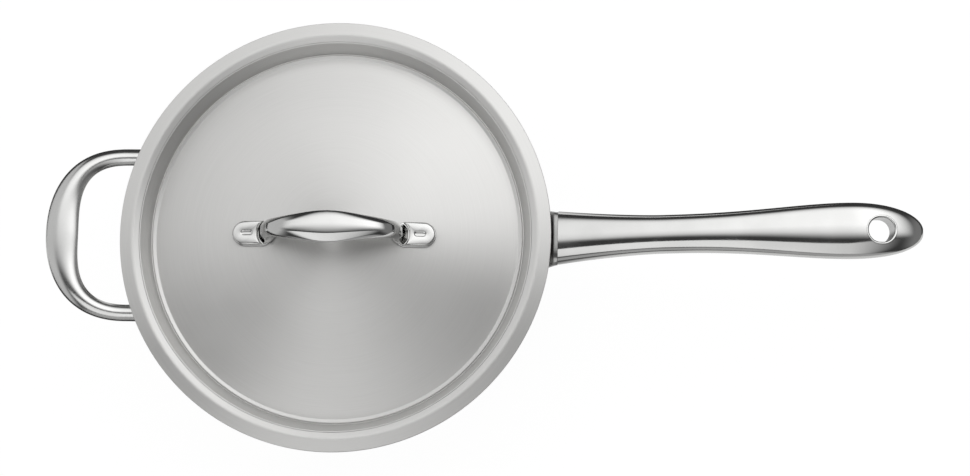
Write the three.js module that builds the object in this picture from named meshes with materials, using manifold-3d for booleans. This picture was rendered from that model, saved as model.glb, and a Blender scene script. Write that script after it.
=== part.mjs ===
// Saute pan with a drop-in lid, a hollow long handle, a helper loop and a bow grip on the lid.
// Millimetres, +Z up. The origin is the centre of the base's underside, and +X runs along the long handle.
import * as THREE from "three";
import { mergeVertices } from "three/addons/utils/BufferGeometryUtils.js";
import Module from "manifold-3d";

const wasm = await Module();
wasm.setup();

// Clearance between pieces that are welded or rest on each other.
const GAP = 0.3;

// Pan body: nominal 24 cm inside.
const PAN_INNER_RADIUS = 120;
const PAN_DEPTH = 70;
const PAN_SHEET = 1.2;
const PAN_CORNER_RADIUS = 10;
const SHOULDER_RADIUS = 5;
const LIP_REACH = 12.5;
const LIP_FALL_DEG = 10;
const LIP_HEM_RADIUS = 1.8;

// Sandwich base: a steel cup round an aluminium disc.
const CORE_THICKNESS = 5.6;
const CAP_SHEET = 0.8;
const CAP_EDGE_RADIUS = 3;
const BASE_STEP = 1;

// Lid: dome, fold, locating wall and brim.
const LID_SHEET = 1;
const LID_BRIM_OVERLAP = 0.5;
const LID_WALL_PLAY = 1.8;
const LID_BRIM_BEND = 0.8;
const LID_FOLD_INSET = 6;
const LID_FOLD_RADIUS = 3;
const LID_FOLD_DEPTH = 11.2;
const LID_DOME_RISE = 15.5;

// Bow grip on the lid, with its welded plates and raised pads.
const FOOT_RADIUS = 50.3;
const PLATE_LENGTH = 24.4;
const PLATE_WIDTH = 15.4;
const PLATE_THICKNESS = 1.2;
const PLATE_CORNER = 5.5;
const PAD_LENGTH = 17.4;
const PAD_WIDTH = 14.2;
const PAD_HEIGHT = 2.6;
const PAD_EDGE = 0.9;
const PAD_HOLLOW_RADIUS = 9;
const PAD_HOLLOW_DEPTH = 1.6;
const MARK_LENGTH = 6.8;
const MARK_WIDTH = 2.6;
const MARK_INSET = 0.6;
const MARK_DEPTH = 0.5;
const BOW_LEG_SPREAD = 40.5;
const BOW_RISE = 29;
const BOW_ROUNDNESS = 3.8;
const BOW_GRIP_WIDTH = 18.8;
const BOW_LEG_WIDTH = 10.6;
const BOW_GRIP_THICKNESS = 9.6;
const BOW_LEG_THICKNESS = 6.6;
const BOW_FOOT_WIDTH = 12.4;
const BOW_FOOT_THICKNESS = 9.6;
const BOW_FOOT_HEIGHT = 6;

// Cast bars: how high the top is crowned, as a share of the half width.
const BOW_GRIP_CROWN = 0.25;
const LOOP_GRIP_CROWN = 0.38;
const ARM_CROWN = 0.65;

// Long handle: two drawn shells, welded along the widest line.
const HANDLE_OFF_LIP = 4;
const HANDLE_LENGTH = 216.4;
const HANDLE_SHEET = 1.2;
const HANDLE_ROOT_WIDTH = 32.6;
const HANDLE_WAIST_WIDTH = 23.2;
const HANDLE_END_WIDTH = 33.4;
const HANDLE_WAIST_AT = 64;
const HANDLE_WIDEST_FROM_TIP = 43.5;
const HANDLE_ROOT_HEIGHT = 18;
const HANDLE_WAIST_HEIGHT = 14.4;
const HANDLE_END_HEIGHT = 13.6;
const HANDLE_ROOT_DROP = 7;
const HANDLE_ROOT_ANGLE_DEG = 18.2;
const HANDLE_RISE = 37.8;
const HANDLE_TIP_DROOP = 7;
const HANDLE_ROUNDNESS = 2.35;
const HANDLE_ROOT_TAPER = 1.6;
const HANDLE_SWELL_DELAY = 1.35;
const HANDLE_TIP_ROUNDNESS = 2.15;
const HANDLE_TIP_FLAT = 0.25;

// Hanging hole near the handle's tip.
const HOLE_FROM_TIP = 26.3;
const HOLE_LENGTH = 16.8;
const HOLE_WIDTH = 15.5;
const HOLE_LEAN_DEG = 13.5;
const SLEEVE_WALL = 0.9;

// Bracket between the wall and the long handle.
const SADDLE_SHEET = 2;
const SADDLE_WIDTH = 44;
const SADDLE_HEIGHT = 26;
const SADDLE_DROP = 7;
const SADDLE_CORNER = 0.35;
const NECK_WIDTH = 32.6;
const NECK_HEIGHT = 11.5;
const NECK_UNDER_LIP = 1.2;
const NECK_ROUNDNESS = 3.35;
const TONGUE_LENGTH = 16;
const TONGUE_PLAY = 0.35;

// Helper loop opposite the long handle, on two welded flanges.
const LOOP_REACH = 36.3;
const LOOP_ARM_SPREAD = 48.5;
const LOOP_BEND_DEPTH = 40.6;
const LOOP_ROUNDNESS = 2.5;
const LOOP_GRIP_WIDTH = 20.1;
const LOOP_ARM_WIDTH = 10.3;
const LOOP_GRIP_THICKNESS = 10.8;
const LOOP_ARM_THICKNESS = 8.6;
const LOOP_ARM_DROP = 9.6;
const LOOP_GRIP_LIFT = 6;
const LOOP_SWELL_POWER = 0.6;
const FLANGE_SHEET = 1.8;
const FLANGE_WIDTH = 25;
const FLANGE_HEIGHT = 16;

// Facets.
const ROUND_SEGMENTS = 48;
const ARC_STEP_DEG = 30;
const SECTION_POINTS = 16;
const BAR_CROWN_POINTS = 6;
const BAR_BELLY_POINTS = 8;
const HOLE_SEGMENTS = 20;
const PATH_STEPS = 20;
const BOW_FOOT_STEPS = 4;
const NECK_STEPS = 9;
const LOOP_STEPS = 24;
const SADDLE_STEPS = 8;
const DOME_STEPS = 5;
const STATION_EASING = -0.15;
const FOOT_SEGMENTS = 6;

// Levels and radii that several pieces share.
const FLOOR_UNDERSIDE = CAP_SHEET + CORE_THICKNESS;
const FLOOR_TOP = FLOOR_UNDERSIDE + PAN_SHEET;
const RIM_Z = FLOOR_TOP + PAN_DEPTH;
const WALL_RADIUS = PAN_INNER_RADIUS + PAN_SHEET;
const LIP_RADIUS = PAN_INNER_RADIUS + LIP_REACH;
const SHOULDER_CENTRE = new THREE.Vector2(PAN_INNER_RADIUS + SHOULDER_RADIUS, RIM_Z - SHOULDER_RADIUS);
const BASE_RADIUS = WALL_RADIUS - PAN_CORNER_RADIUS - PAN_SHEET - BASE_STEP;

const rad = THREE.MathUtils.degToRad;
const lerp = THREE.MathUtils.lerp;
const smooth = (u) => THREE.MathUtils.smoothstep(u, 0, 1);

// Materials: satin steel for the drawn sheets, polished steel for what the hand holds.
const steel = (name, color, roughness) =>
  new THREE.MeshStandardMaterial({ name, color, roughness, metalness: 1 });
const satin = () => steel("satin steel", 0xc9c8c4, 0.36);
const polished = () => steel("polished steel", 0xd6d6d4, 0.12);
const bareSteel = () => steel("welded bracket steel", 0xb4b3b0, 0.3);
const aluminium = () => steel("aluminium core", 0xb9bbbe, 0.5);

// A closed solid from a geometry: only its positions are kept, merged, with no collapsed triangles.
function solidFrom(geometry) {
  const bare = geometry.clone();
  bare.deleteAttribute("normal");
  bare.deleteAttribute("uv");
  const merged = mergeVertices(bare, 1e-4);
  const corners = [...merged.index.array];
  const kept = [];
  for (let i = 0; i < corners.length; i += 3) {
    const [a, b, c] = corners.slice(i, i + 3);
    if (a !== b && b !== c && c !== a) kept.push(a, b, c);
  }
  const mesh = new wasm.Mesh({
    numProp: 3,
    vertProperties: Float32Array.from(merged.attributes.position.array),
    triVerts: Uint32Array.from(kept),
  });
  return new wasm.Manifold(mesh);
}

// The geometry of a solid that was joined or cut.
function geometryFrom(solid) {
  const mesh = solid.getMesh();
  const geometry = new THREE.BufferGeometry();
  geometry.setAttribute("position", new THREE.BufferAttribute(Float32Array.from(mesh.vertProperties), 3));
  geometry.setIndex(new THREE.BufferAttribute(Uint32Array.from(mesh.triVerts), 1));
  geometry.computeVertexNormals();
  return geometry;
}

function piece(name, geometry, material) {
  const mesh = new THREE.Mesh(geometry, material);
  mesh.name = name;
  return mesh;
}

// Points of an arc in the (radius, height) plane, both ends included.
function arc(centre, radius, fromDeg, toDeg) {
  const steps = Math.max(2, Math.ceil(Math.abs(toDeg - fromDeg) / ARC_STEP_DEG));
  const points = [];
  for (let i = 0; i <= steps; i++) {
    const angle = rad(lerp(fromDeg, toDeg, i / steps));
    points.push(new THREE.Vector2(centre.x + radius * Math.cos(angle), centre.y + radius * Math.sin(angle)));
  }
  return points;
}

// A solid of revolution about Z. The profile runs anticlockwise in the (radius, height) plane.
function revolve(profile) {
  return new THREE.LatheGeometry(profile, ROUND_SEGMENTS).rotateX(Math.PI / 2);
}

// A solid through rings of equal length, each ring anticlockwise as seen from the far end.
function loft(rings) {
  const count = rings[0].length;
  const index = [];
  for (let i = 0; i + 1 < rings.length; i++) {
    for (let k = 0; k < count; k++) {
      const a = i * count + k;
      const b = i * count + ((k + 1) % count);
      index.push(a, b, a + count, b, b + count, a + count);
    }
  }
  const last = (rings.length - 1) * count;
  for (let k = 1; k + 1 < count; k++) {
    index.push(0, k + 1, k, last, last + k, last + k + 1);
  }
  const geometry = new THREE.BufferGeometry().setFromPoints(rings.flat());
  geometry.setIndex(index);
  geometry.computeVertexNormals();
  return geometry;
}

// A rounded-rectangle outline (a superellipse) of the given half sizes, as [across, up] pairs.
function superellipse(halfWidth, halfHeight, roundness, count) {
  const power = 2 / roundness;
  const points = [];
  for (let k = 0; k < count; k++) {
    const angle = (2 * Math.PI * k) / count;
    const c = Math.cos(angle);
    const s = Math.sin(angle);
    points.push([
      halfWidth * Math.sign(c) * Math.abs(c) ** power,
      halfHeight * Math.sign(s) * Math.abs(s) ** power,
    ]);
  }
  return points;
}

// The outline of a cast bar: a crowned top that meets a round belly along two edges.
function barSection({ width, thickness, crown }) {
  const half = width / 2;
  const edge = thickness / 2 - crown;
  const points = [];
  for (let k = 0; k < BAR_CROWN_POINTS; k++) {
    const u = 1 - (2 * k) / BAR_CROWN_POINTS;
    points.push([half * u, edge + crown * (1 - u * u)]);
  }
  for (let k = 0; k < BAR_BELLY_POINTS; k++) {
    const angle = Math.PI * (1 + k / BAR_BELLY_POINTS);
    points.push([half * Math.cos(angle), edge + (thickness - crown) * Math.sin(angle)]);
  }
  return points;
}

// A plate that follows a cylinder about Z: rings of its (radius, height) section at each angle.
function saddle(innerRadius, sheet, width, height, topZ, facingDeg) {
  const midRadius = innerRadius + sheet / 2;
  const halfTurn = width / 2 / midRadius;
  const rings = [];
  for (let i = 0; i <= SADDLE_STEPS; i++) {
    const u = -Math.cos((Math.PI * i) / SADDLE_STEPS);
    const angle = rad(facingDeg) + halfTurn * u;
    const half = (height / 2) * lerp(1, Math.sqrt(1 - u * u), SADDLE_CORNER);
    const section = [
      [innerRadius, -half],
      [innerRadius + sheet, -half],
      [innerRadius + sheet, half],
      [innerRadius, half],
    ];
    rings.push(
      section.map(
        ([r, z]) =>
          new THREE.Vector3(r * Math.cos(angle), r * Math.sin(angle), topZ - height / 2 + z),
      ).reverse(),
    );
  }
  return loft(rings);
}

// An obround or half-obround plate outline: round at the far end, and at the near end too where asked.
function footOutline(length, width, nearRadius) {
  const half = width / 2;
  const shape = new THREE.Shape();
  shape.moveTo(-length / 2 + nearRadius, -half);
  shape.lineTo(length / 2 - half, -half);
  shape.absarc(length / 2 - half, 0, half, -Math.PI / 2, Math.PI / 2, false);
  shape.lineTo(-length / 2 + nearRadius, half);
  shape.absarc(-length / 2 + nearRadius, half - nearRadius, nearRadius, Math.PI / 2, Math.PI, false);
  shape.absarc(-length / 2 + nearRadius, nearRadius - half, nearRadius, Math.PI, 1.5 * Math.PI, false);
  return shape;
}

function makePanBody() {
  const corner = new THREE.Vector2(PAN_INNER_RADIUS - PAN_CORNER_RADIUS, FLOOR_TOP + PAN_CORNER_RADIUS);
  const fall = rad(LIP_FALL_DEG);
  const bendTop = new THREE.Vector2(
    SHOULDER_CENTRE.x + SHOULDER_RADIUS * Math.sin(fall),
    SHOULDER_CENTRE.y + SHOULDER_RADIUS * Math.cos(fall),
  );
  const hemX = LIP_RADIUS - LIP_HEM_RADIUS;
  const bandEndX = hemX + LIP_HEM_RADIUS * Math.sin(fall);
  const bandEndY = bendTop.y - (bandEndX - bendTop.x) * Math.tan(fall);
  const hem = new THREE.Vector2(hemX, bandEndY - LIP_HEM_RADIUS * Math.cos(fall));
  const turn = 90 - LIP_FALL_DEG;
  const profile = [
    new THREE.Vector2(0, FLOOR_UNDERSIDE),
    ...arc(corner, PAN_CORNER_RADIUS + PAN_SHEET, -90, 0),
    ...arc(SHOULDER_CENTRE, SHOULDER_RADIUS - PAN_SHEET, 180, turn),
    ...arc(hem, LIP_HEM_RADIUS - PAN_SHEET, turn, 0),
    ...arc(hem, LIP_HEM_RADIUS, 0, turn),
    ...arc(SHOULDER_CENTRE, SHOULDER_RADIUS, turn, 180),
    ...arc(corner, PAN_CORNER_RADIUS, 0, -90),
    new THREE.Vector2(0, FLOOR_TOP),
  ];
  return piece("pan_body", revolve(profile), satin());
}

function makeBase() {
  const edge = new THREE.Vector2(BASE_RADIUS - CAP_EDGE_RADIUS, CAP_EDGE_RADIUS);
  const innerEdge = CAP_EDGE_RADIUS - CAP_SHEET;
  const top = FLOOR_UNDERSIDE - GAP;
  const cap = revolve([
    new THREE.Vector2(0, 0),
    ...arc(edge, CAP_EDGE_RADIUS, -90, 0),
    new THREE.Vector2(BASE_RADIUS, top),
    new THREE.Vector2(BASE_RADIUS - CAP_SHEET, top),
    ...arc(edge, innerEdge, 0, -90),
    new THREE.Vector2(0, CAP_SHEET),
  ]);
  const coreEdge = new THREE.Vector2(edge.x - GAP, edge.y);
  const coreRadius = coreEdge.x + innerEdge;
  const core = revolve([
    new THREE.Vector2(0, CAP_SHEET),
    ...arc(coreEdge, innerEdge, -90, 0),
    new THREE.Vector2(coreRadius, FLOOR_UNDERSIDE),
    new THREE.Vector2(0, FLOOR_UNDERSIDE),
  ]);
  return [piece("base_cap", cap, satin()), piece("base_core", core, aluminium())];
}

// Where the lid's arcs have their centres: its brim bend, its fold and its dome.
function lidArcs() {
  const brimRadius = PAN_INNER_RADIUS + LID_BRIM_OVERLAP;
  const reach = SHOULDER_RADIUS + GAP;
  const inside = SHOULDER_CENTRE.x - brimRadius;
  const brimUnderside = SHOULDER_CENTRE.y + Math.sqrt(reach * reach - inside * inside);
  const brim = new THREE.Vector2(
    PAN_INNER_RADIUS - LID_WALL_PLAY + LID_BRIM_BEND,
    brimUnderside - LID_BRIM_BEND,
  );
  const foldBottom = brimUnderside + LID_SHEET - LID_FOLD_DEPTH;
  const fold = new THREE.Vector2(PAN_INNER_RADIUS - LID_FOLD_INSET, foldBottom + LID_FOLD_RADIUS);
  const across = brim.clone().sub(fold);
  const lean = Math.asin((LID_FOLD_RADIUS + LID_BRIM_BEND + LID_SHEET) / across.length());
  const wallDeg = THREE.MathUtils.radToDeg(Math.atan2(across.y, across.x) + lean);
  const apexOverFold = LID_DOME_RISE - LID_FOLD_RADIUS;
  const domeRadius =
    (fold.x ** 2 + apexOverFold ** 2 - LID_FOLD_RADIUS ** 2) / (2 * (apexOverFold + LID_FOLD_RADIUS));
  const apexZ = foldBottom + LID_DOME_RISE;
  const dome = new THREE.Vector2(0, apexZ - domeRadius);
  const domeEdgeDeg = THREE.MathUtils.radToDeg(Math.asin(fold.x / (domeRadius + LID_FOLD_RADIUS)));
  return { brimRadius, brimUnderside, brim, fold, wallDeg, domeRadius, dome, domeEdgeDeg };
}

const LID = lidArcs();

// Points of the dome, whose span is too shallow for the common arc step.
function domePoints(radius, fromDeg, toDeg) {
  const points = [];
  for (let i = 0; i <= DOME_STEPS; i++) {
    const angle = rad(lerp(fromDeg, toDeg, i / DOME_STEPS));
    points.push(new THREE.Vector2(radius * Math.sin(angle), LID.dome.y + radius * Math.cos(angle)));
  }
  return points;
}

function makeLidShell() {
  const { brimRadius, brimUnderside, brim, fold, wallDeg, domeRadius, domeEdgeDeg } = LID;
  const foldFrom = 270 - domeEdgeDeg;
  const foldTo = 270 + wallDeg;
  const profile = [
    ...domePoints(domeRadius - LID_SHEET, 0, domeEdgeDeg),
    ...arc(fold, LID_FOLD_RADIUS + LID_SHEET, foldFrom, foldTo).slice(1),
    ...arc(brim, LID_BRIM_BEND, 90 + wallDeg, 90),
    new THREE.Vector2(brimRadius, brimUnderside),
    new THREE.Vector2(brimRadius, brimUnderside + LID_SHEET),
    ...arc(brim, LID_BRIM_BEND + LID_SHEET, 90, 90 + wallDeg),
    ...arc(fold, LID_FOLD_RADIUS, foldTo, foldFrom),
    ...domePoints(domeRadius, domeEdgeDeg, 0).slice(1),
  ];
  return piece("lid_shell", revolve(profile), satin());
}

// Height of the lid's top face at a distance from its centre.
const domeHeight = (r) => LID.dome.y + Math.sqrt(LID.domeRadius ** 2 - r ** 2);

// A group that stands on the dome at the foot of the grip, with +X pointing outwards.
function footFrame(side) {
  const lean = Math.asin(FOOT_RADIUS / LID.domeRadius);
  const group = new THREE.Group();
  group.position.set(side * FOOT_RADIUS, 0, domeHeight(FOOT_RADIUS));
  group.rotation.set(0, lean, side < 0 ? Math.PI : 0, "ZYX");
  return group;
}

function makeFoot(side, word) {
  const group = footFrame(side);
  const plateShape = footOutline(PLATE_LENGTH, PLATE_WIDTH, PLATE_CORNER);
  const plate = new THREE.ExtrudeGeometry(plateShape, {
    depth: PLATE_THICKNESS,
    bevelEnabled: false,
    curveSegments: FOOT_SEGMENTS,
  }).translate(0, 0, GAP);
  const plateTop = GAP + PLATE_THICKNESS;
  const flat = PAD_WIDTH - 2 * PAD_EDGE;
  const padShape = footOutline(PAD_LENGTH - 2 * PAD_EDGE, flat, PAD_EDGE);
  const padGeometry = new THREE.ExtrudeGeometry(padShape, {
    depth: PAD_HEIGHT - PAD_EDGE,
    bevelThickness: PAD_EDGE,
    bevelSize: PAD_EDGE,
    bevelSegments: 2,
    curveSegments: FOOT_SEGMENTS,
  });
  const belowPad = new THREE.BoxGeometry(2 * PAD_LENGTH, 2 * PAD_WIDTH, PAD_HEIGHT);
  belowPad.translate(0, 0, -PAD_HEIGHT / 2);
  const markShape = new THREE.Shape();
  const markEnd = (MARK_LENGTH - MARK_WIDTH) / 2;
  markShape.absarc(markEnd, 0, MARK_WIDTH / 2, -Math.PI / 2, Math.PI / 2, false);
  markShape.absarc(-markEnd, 0, MARK_WIDTH / 2, Math.PI / 2, 1.5 * Math.PI, false);
  const mark = new THREE.ExtrudeGeometry(markShape, {
    depth: 2 * MARK_DEPTH,
    bevelEnabled: false,
    curveSegments: FOOT_SEGMENTS,
  }).translate(-MARK_INSET, 0, PAD_HEIGHT - MARK_DEPTH);
  const hollow = new THREE.CylinderGeometry(
    PAD_HOLLOW_RADIUS,
    PAD_HOLLOW_RADIUS,
    4 * PAD_HEIGHT,
    ROUND_SEGMENTS,
  ).rotateX(Math.PI / 2);
  hollow.translate(PAD_HOLLOW_DEPTH - PAD_LENGTH / 2 - PAD_HOLLOW_RADIUS, 0, 0);
  const tools = [belowPad, mark, hollow].map(solidFrom);
  const pad = geometryFrom(tools.reduce((solid, tool) => solid.subtract(tool), solidFrom(padGeometry)));
  const outward = (PLATE_LENGTH - PAD_LENGTH) / 2 - (PLATE_WIDTH - PAD_WIDTH) / 2;
  pad.translate(outward, 0, plateTop + GAP);
  group.add(piece(`lid_plate_${word}`, plate, polished()));
  group.add(piece(`lid_pad_${word}`, pad, polished()));
  return group;
}

// Rings of a bar along a path, each station with its centre, width, thickness and crown.
function barRings(stations, acrossOf, upOf) {
  return stations.map((station, i) =>
    barSection(station).map(([across, up]) =>
      station.centre
        .clone()
        .addScaledVector(acrossOf(i), across)
        .addScaledVector(upOf(i), up),
    ),
  );
}

// A quarter-symmetric superellipse path: cosine and sine parts for each step from end to end.
function archStep(u, roundness) {
  const angle = Math.PI * u;
  const c = Math.cos(angle);
  const s = Math.sin(angle);
  const power = 2 / roundness;
  return [Math.sign(c) * Math.abs(c) ** power, Math.abs(s) ** power];
}

// Stations of one foot of the bow: upright, flared out to its plate, from the plate upwards.
function bowFoot(side, legFoot) {
  const seat = 2 * PLATE_THICKNESS + 2 * GAP;
  const stations = [];
  for (let i = -1; i <= BOW_FOOT_STEPS; i++) {
    const u = Math.max(0, i) / BOW_FOOT_STEPS;
    const height = i < 0 ? 0 : seat + u * BOW_FOOT_HEIGHT;
    const flare = (1 - u) ** 2;
    const width = lerp(BOW_LEG_WIDTH, BOW_FOOT_WIDTH, flare);
    stations.push({
      centre: new THREE.Vector3(side * BOW_LEG_SPREAD, 0, legFoot + height),
      width,
      thickness: lerp(BOW_LEG_THICKNESS, BOW_FOOT_THICKNESS, flare),
      crown: (ARM_CROWN * width) / 2,
    });
  }
  return stations;
}

function makeLidGrip() {
  const legFoot = domeHeight(BOW_LEG_SPREAD) - PLATE_THICKNESS;
  const rise = BOW_RISE + PLATE_THICKNESS;
  const stations = bowFoot(-1, legFoot);
  for (let i = 1; i < PATH_STEPS; i++) {
    const [x, z] = archStep(1 - i / PATH_STEPS, BOW_ROUNDNESS);
    const grip = smooth(1 - Math.abs(x));
    const width = lerp(BOW_LEG_WIDTH, BOW_GRIP_WIDTH, grip);
    stations.push({
      centre: new THREE.Vector3(BOW_LEG_SPREAD * x, 0, legFoot + rise * z),
      width,
      thickness: lerp(BOW_LEG_THICKNESS, BOW_GRIP_THICKNESS, grip),
      crown: (lerp(ARM_CROWN, BOW_GRIP_CROWN, grip) * width) / 2,
    });
  }
  stations.push(...bowFoot(1, legFoot).reverse());
  const last = stations.length - 1;
  const across = new THREE.Vector3(0, 1, 0);
  const upOf = (i) => {
    const before = stations[Math.max(0, i - 1)].centre;
    const after = stations[Math.min(last, i + 1)].centre;
    const along = after.clone().sub(before).normalize();
    return along.cross(across);
  };
  const bow = solidFrom(loft(barRings(stations, () => across, upOf)));
  const clear = new THREE.BoxGeometry(2 * PLATE_LENGTH, 2 * PLATE_WIDTH, 4 * PLATE_THICKNESS);
  clear.translate(0, 0, 2 * GAP - PLATE_THICKNESS);
  let trimmed = bow;
  for (const side of [-1, 1]) {
    const frame = footFrame(side);
    frame.updateMatrix();
    trimmed = trimmed.subtract(solidFrom(clear.clone().applyMatrix4(frame.matrix)));
  }
  return piece("lid_grip", geometryFrom(trimmed), polished());
}

// Long handle: half width, half height and centre height at a distance from its root end.
const HANDLE_START = LIP_RADIUS + HANDLE_OFF_LIP;
const HANDLE_WIDEST_AT = HANDLE_LENGTH - HANDLE_WIDEST_FROM_TIP;
const ROOT_SLOPE = Math.tan(rad(HANDLE_ROOT_ANGLE_DEG));
const ROOT_FLATTENING = (ROOT_SLOPE * HANDLE_WIDEST_AT - HANDLE_RISE) / HANDLE_WIDEST_AT ** 2;

function handleCentre(s) {
  const beyond = Math.max(0, s - HANDLE_WIDEST_AT) / HANDLE_WIDEST_FROM_TIP;
  const climb = ROOT_SLOPE * s - ROOT_FLATTENING * s * s;
  return RIM_Z - HANDLE_ROOT_DROP + climb - HANDLE_TIP_DROOP * beyond ** 2;
}

function handleHalf(s, inset) {
  const waist = HANDLE_WAIST_AT;
  let width = HANDLE_END_WIDTH;
  let height = HANDLE_END_HEIGHT;
  if (s < waist) {
    const u = (1 - s / waist) ** HANDLE_ROOT_TAPER;
    width = lerp(HANDLE_WAIST_WIDTH, HANDLE_ROOT_WIDTH, u);
    height = lerp(HANDLE_WAIST_HEIGHT, HANDLE_ROOT_HEIGHT, u);
  } else if (s < HANDLE_WIDEST_AT) {
    const u = smooth(((s - waist) / (HANDLE_WIDEST_AT - waist)) ** HANDLE_SWELL_DELAY);
    width = lerp(HANDLE_WAIST_WIDTH, HANDLE_END_WIDTH, u);
    height = lerp(HANDLE_WAIST_HEIGHT, HANDLE_END_HEIGHT, u);
  }
  const u = Math.min(1, Math.max(0, s - HANDLE_WIDEST_AT) / (HANDLE_WIDEST_FROM_TIP - inset));
  const closing = (1 - u ** HANDLE_TIP_ROUNDNESS) ** (1 / HANDLE_TIP_ROUNDNESS);
  return [(width / 2 - inset) * closing, (height / 2 - inset) * closing];
}

// Stations along the handle, closer together towards the tip.
function handleStations(from, to) {
  const stations = [];
  for (let i = 0; i <= PATH_STEPS; i++) {
    const u = i / PATH_STEPS;
    stations.push(lerp(from, to, Math.sin((Math.PI / 2) * lerp(u, u * u, STATION_EASING))));
  }
  return stations;
}

function handleSolid(inset, from) {
  const to = HANDLE_LENGTH - inset - HANDLE_TIP_FLAT;
  const rings = handleStations(from, to).map((s) => {
    const [halfWidth, halfHeight] = handleHalf(s, inset);
    return superellipse(halfWidth, halfHeight, HANDLE_ROUNDNESS, SECTION_POINTS).map(
      ([y, z]) => new THREE.Vector3(HANDLE_START + s, y, handleCentre(s) + z),
    );
  });
  return solidFrom(loft(rings));
}

// Everything below the weld line of the two shells, shifted down by the given amount.
function belowSeam(drop) {
  const overrun = 10;
  const half = HANDLE_END_WIDTH + HANDLE_ROOT_WIDTH;
  const rings = [];
  for (let i = 0; i <= PATH_STEPS; i++) {
    const s = lerp(-overrun, HANDLE_LENGTH + overrun, i / PATH_STEPS);
    const x = HANDLE_START + s;
    const top = handleCentre(s) - drop;
    const bottom = top - 4 * HANDLE_ROOT_HEIGHT;
    rings.push([
      new THREE.Vector3(x, half, bottom),
      new THREE.Vector3(x, half, top),
      new THREE.Vector3(x, -half, top),
      new THREE.Vector3(x, -half, bottom),
    ]);
  }
  return solidFrom(loft(rings));
}

// A leaning oblong column through the hanging hole, grown by the given amount all round.
function holeColumn(grow) {
  const radius = HOLE_WIDTH / 2 + grow;
  const offset = (HOLE_LENGTH - HOLE_WIDTH) / 2;
  const shape = new THREE.Shape();
  shape.absarc(offset, 0, radius, -Math.PI / 2, Math.PI / 2, false);
  shape.absarc(-offset, 0, radius, Math.PI / 2, 1.5 * Math.PI, false);
  const depth = 4 * HANDLE_END_HEIGHT;
  const s = HANDLE_LENGTH - HOLE_FROM_TIP;
  const column = new THREE.ExtrudeGeometry(shape, {
    depth,
    bevelEnabled: false,
    curveSegments: HOLE_SEGMENTS / 2,
  });
  column.translate(0, 0, -depth / 2);
  column.rotateY(rad(HOLE_LEAN_DEG));
  column.translate(HANDLE_START + s, 0, handleCentre(s));
  return solidFrom(column);
}

function makeHandleShells() {
  const outer = handleSolid(0, 0);
  const cavity = handleSolid(HANDLE_SHEET, -HANDLE_SHEET);
  const hollow = outer.subtract(cavity).subtract(holeColumn(SLEEVE_WALL + GAP));
  const upper = hollow.subtract(belowSeam(-GAP / 2));
  const lower = hollow.intersect(belowSeam(GAP / 2));
  const sleeve = outer.intersect(holeColumn(SLEEVE_WALL)).subtract(holeColumn(0));
  return [
    piece("handle_upper_shell", geometryFrom(upper), polished()),
    piece("handle_lower_shell", geometryFrom(lower), polished()),
    piece("hang_sleeve", geometryFrom(sleeve), polished()),
  ];
}

function makeHandleBracket() {
  const seat = WALL_RADIUS + GAP;
  const plateTop = RIM_Z - SADDLE_DROP;
  const plate = saddle(seat, SADDLE_SHEET, SADDLE_WIDTH, SADDLE_HEIGHT, plateTop, 0);
  const lipUnderside = RIM_Z - PAN_SHEET - LIP_REACH * Math.tan(rad(LIP_FALL_DEG)) - LIP_HEM_RADIUS / 2;
  const neckTop = lipUnderside - NECK_UNDER_LIP;
  const wallHalfHeight = (SADDLE_HEIGHT - SADDLE_DROP) / 2;
  const [rootHalfWidth, rootHalfHeight] = handleHalf(0, HANDLE_SHEET + TONGUE_PLAY);
  const [tipHalfWidth, tipHalfHeight] = handleHalf(TONGUE_LENGTH, HANDLE_SHEET + TONGUE_PLAY);
  const tongueHalf = NECK_HEIGHT / 2 - HANDLE_SHEET;
  const tongueRoot = Math.min(tongueHalf, rootHalfHeight);
  const tongueTip = Math.min(tongueHalf, tipHalfHeight);
  const stations = [
    [seat - SADDLE_SHEET, plateTop - SADDLE_HEIGHT / 2, wallHalfHeight],
    [LIP_RADIUS, neckTop - NECK_HEIGHT / 2, NECK_HEIGHT / 2],
    [HANDLE_START - GAP, handleCentre(0) - HANDLE_SHEET, NECK_HEIGHT / 2],
  ];
  const route = new THREE.CatmullRomCurve3(stations.map((station) => new THREE.Vector3(...station)));
  const neck = loft(
    route.getPoints(NECK_STEPS).map(({ x, y: z, z: halfHeight }, i) => {
      const halfWidth = NECK_WIDTH / 2 + SADDLE_SHEET * (1 - smooth(i / NECK_STEPS));
      return superellipse(halfWidth, halfHeight, NECK_ROUNDNESS, SECTION_POINTS).map(
        ([y, up]) => new THREE.Vector3(x, y, z + up),
      );
    }),
  );
  const tongueStations = [
    [-2 * GAP, rootHalfWidth, tongueRoot],
    [0, rootHalfWidth, tongueRoot],
    [TONGUE_LENGTH, tipHalfWidth, tongueTip],
  ];
  const tongue = loft(
    tongueStations.map(([s, halfWidth, halfHeight]) =>
      superellipse(halfWidth, halfHeight, HANDLE_ROUNDNESS, SECTION_POINTS).map(
        ([y, up]) => new THREE.Vector3(HANDLE_START + s, y, handleCentre(s) + up),
      ),
    ),
  );
  const wall = new THREE.CylinderGeometry(seat, seat, 2 * RIM_Z, 4 * ROUND_SEGMENTS).rotateX(Math.PI / 2);
  const joined = solidFrom(plate).add(solidFrom(neck)).add(solidFrom(tongue));
  return piece("handle_bracket", geometryFrom(joined.subtract(solidFrom(wall))), bareSteel());
}

// Angle from the loop's middle to the place where an arm meets the wall.
const LOOP_ARM_TURN_DEG = THREE.MathUtils.radToDeg(Math.asin(LOOP_ARM_SPREAD / WALL_RADIUS));

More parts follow.
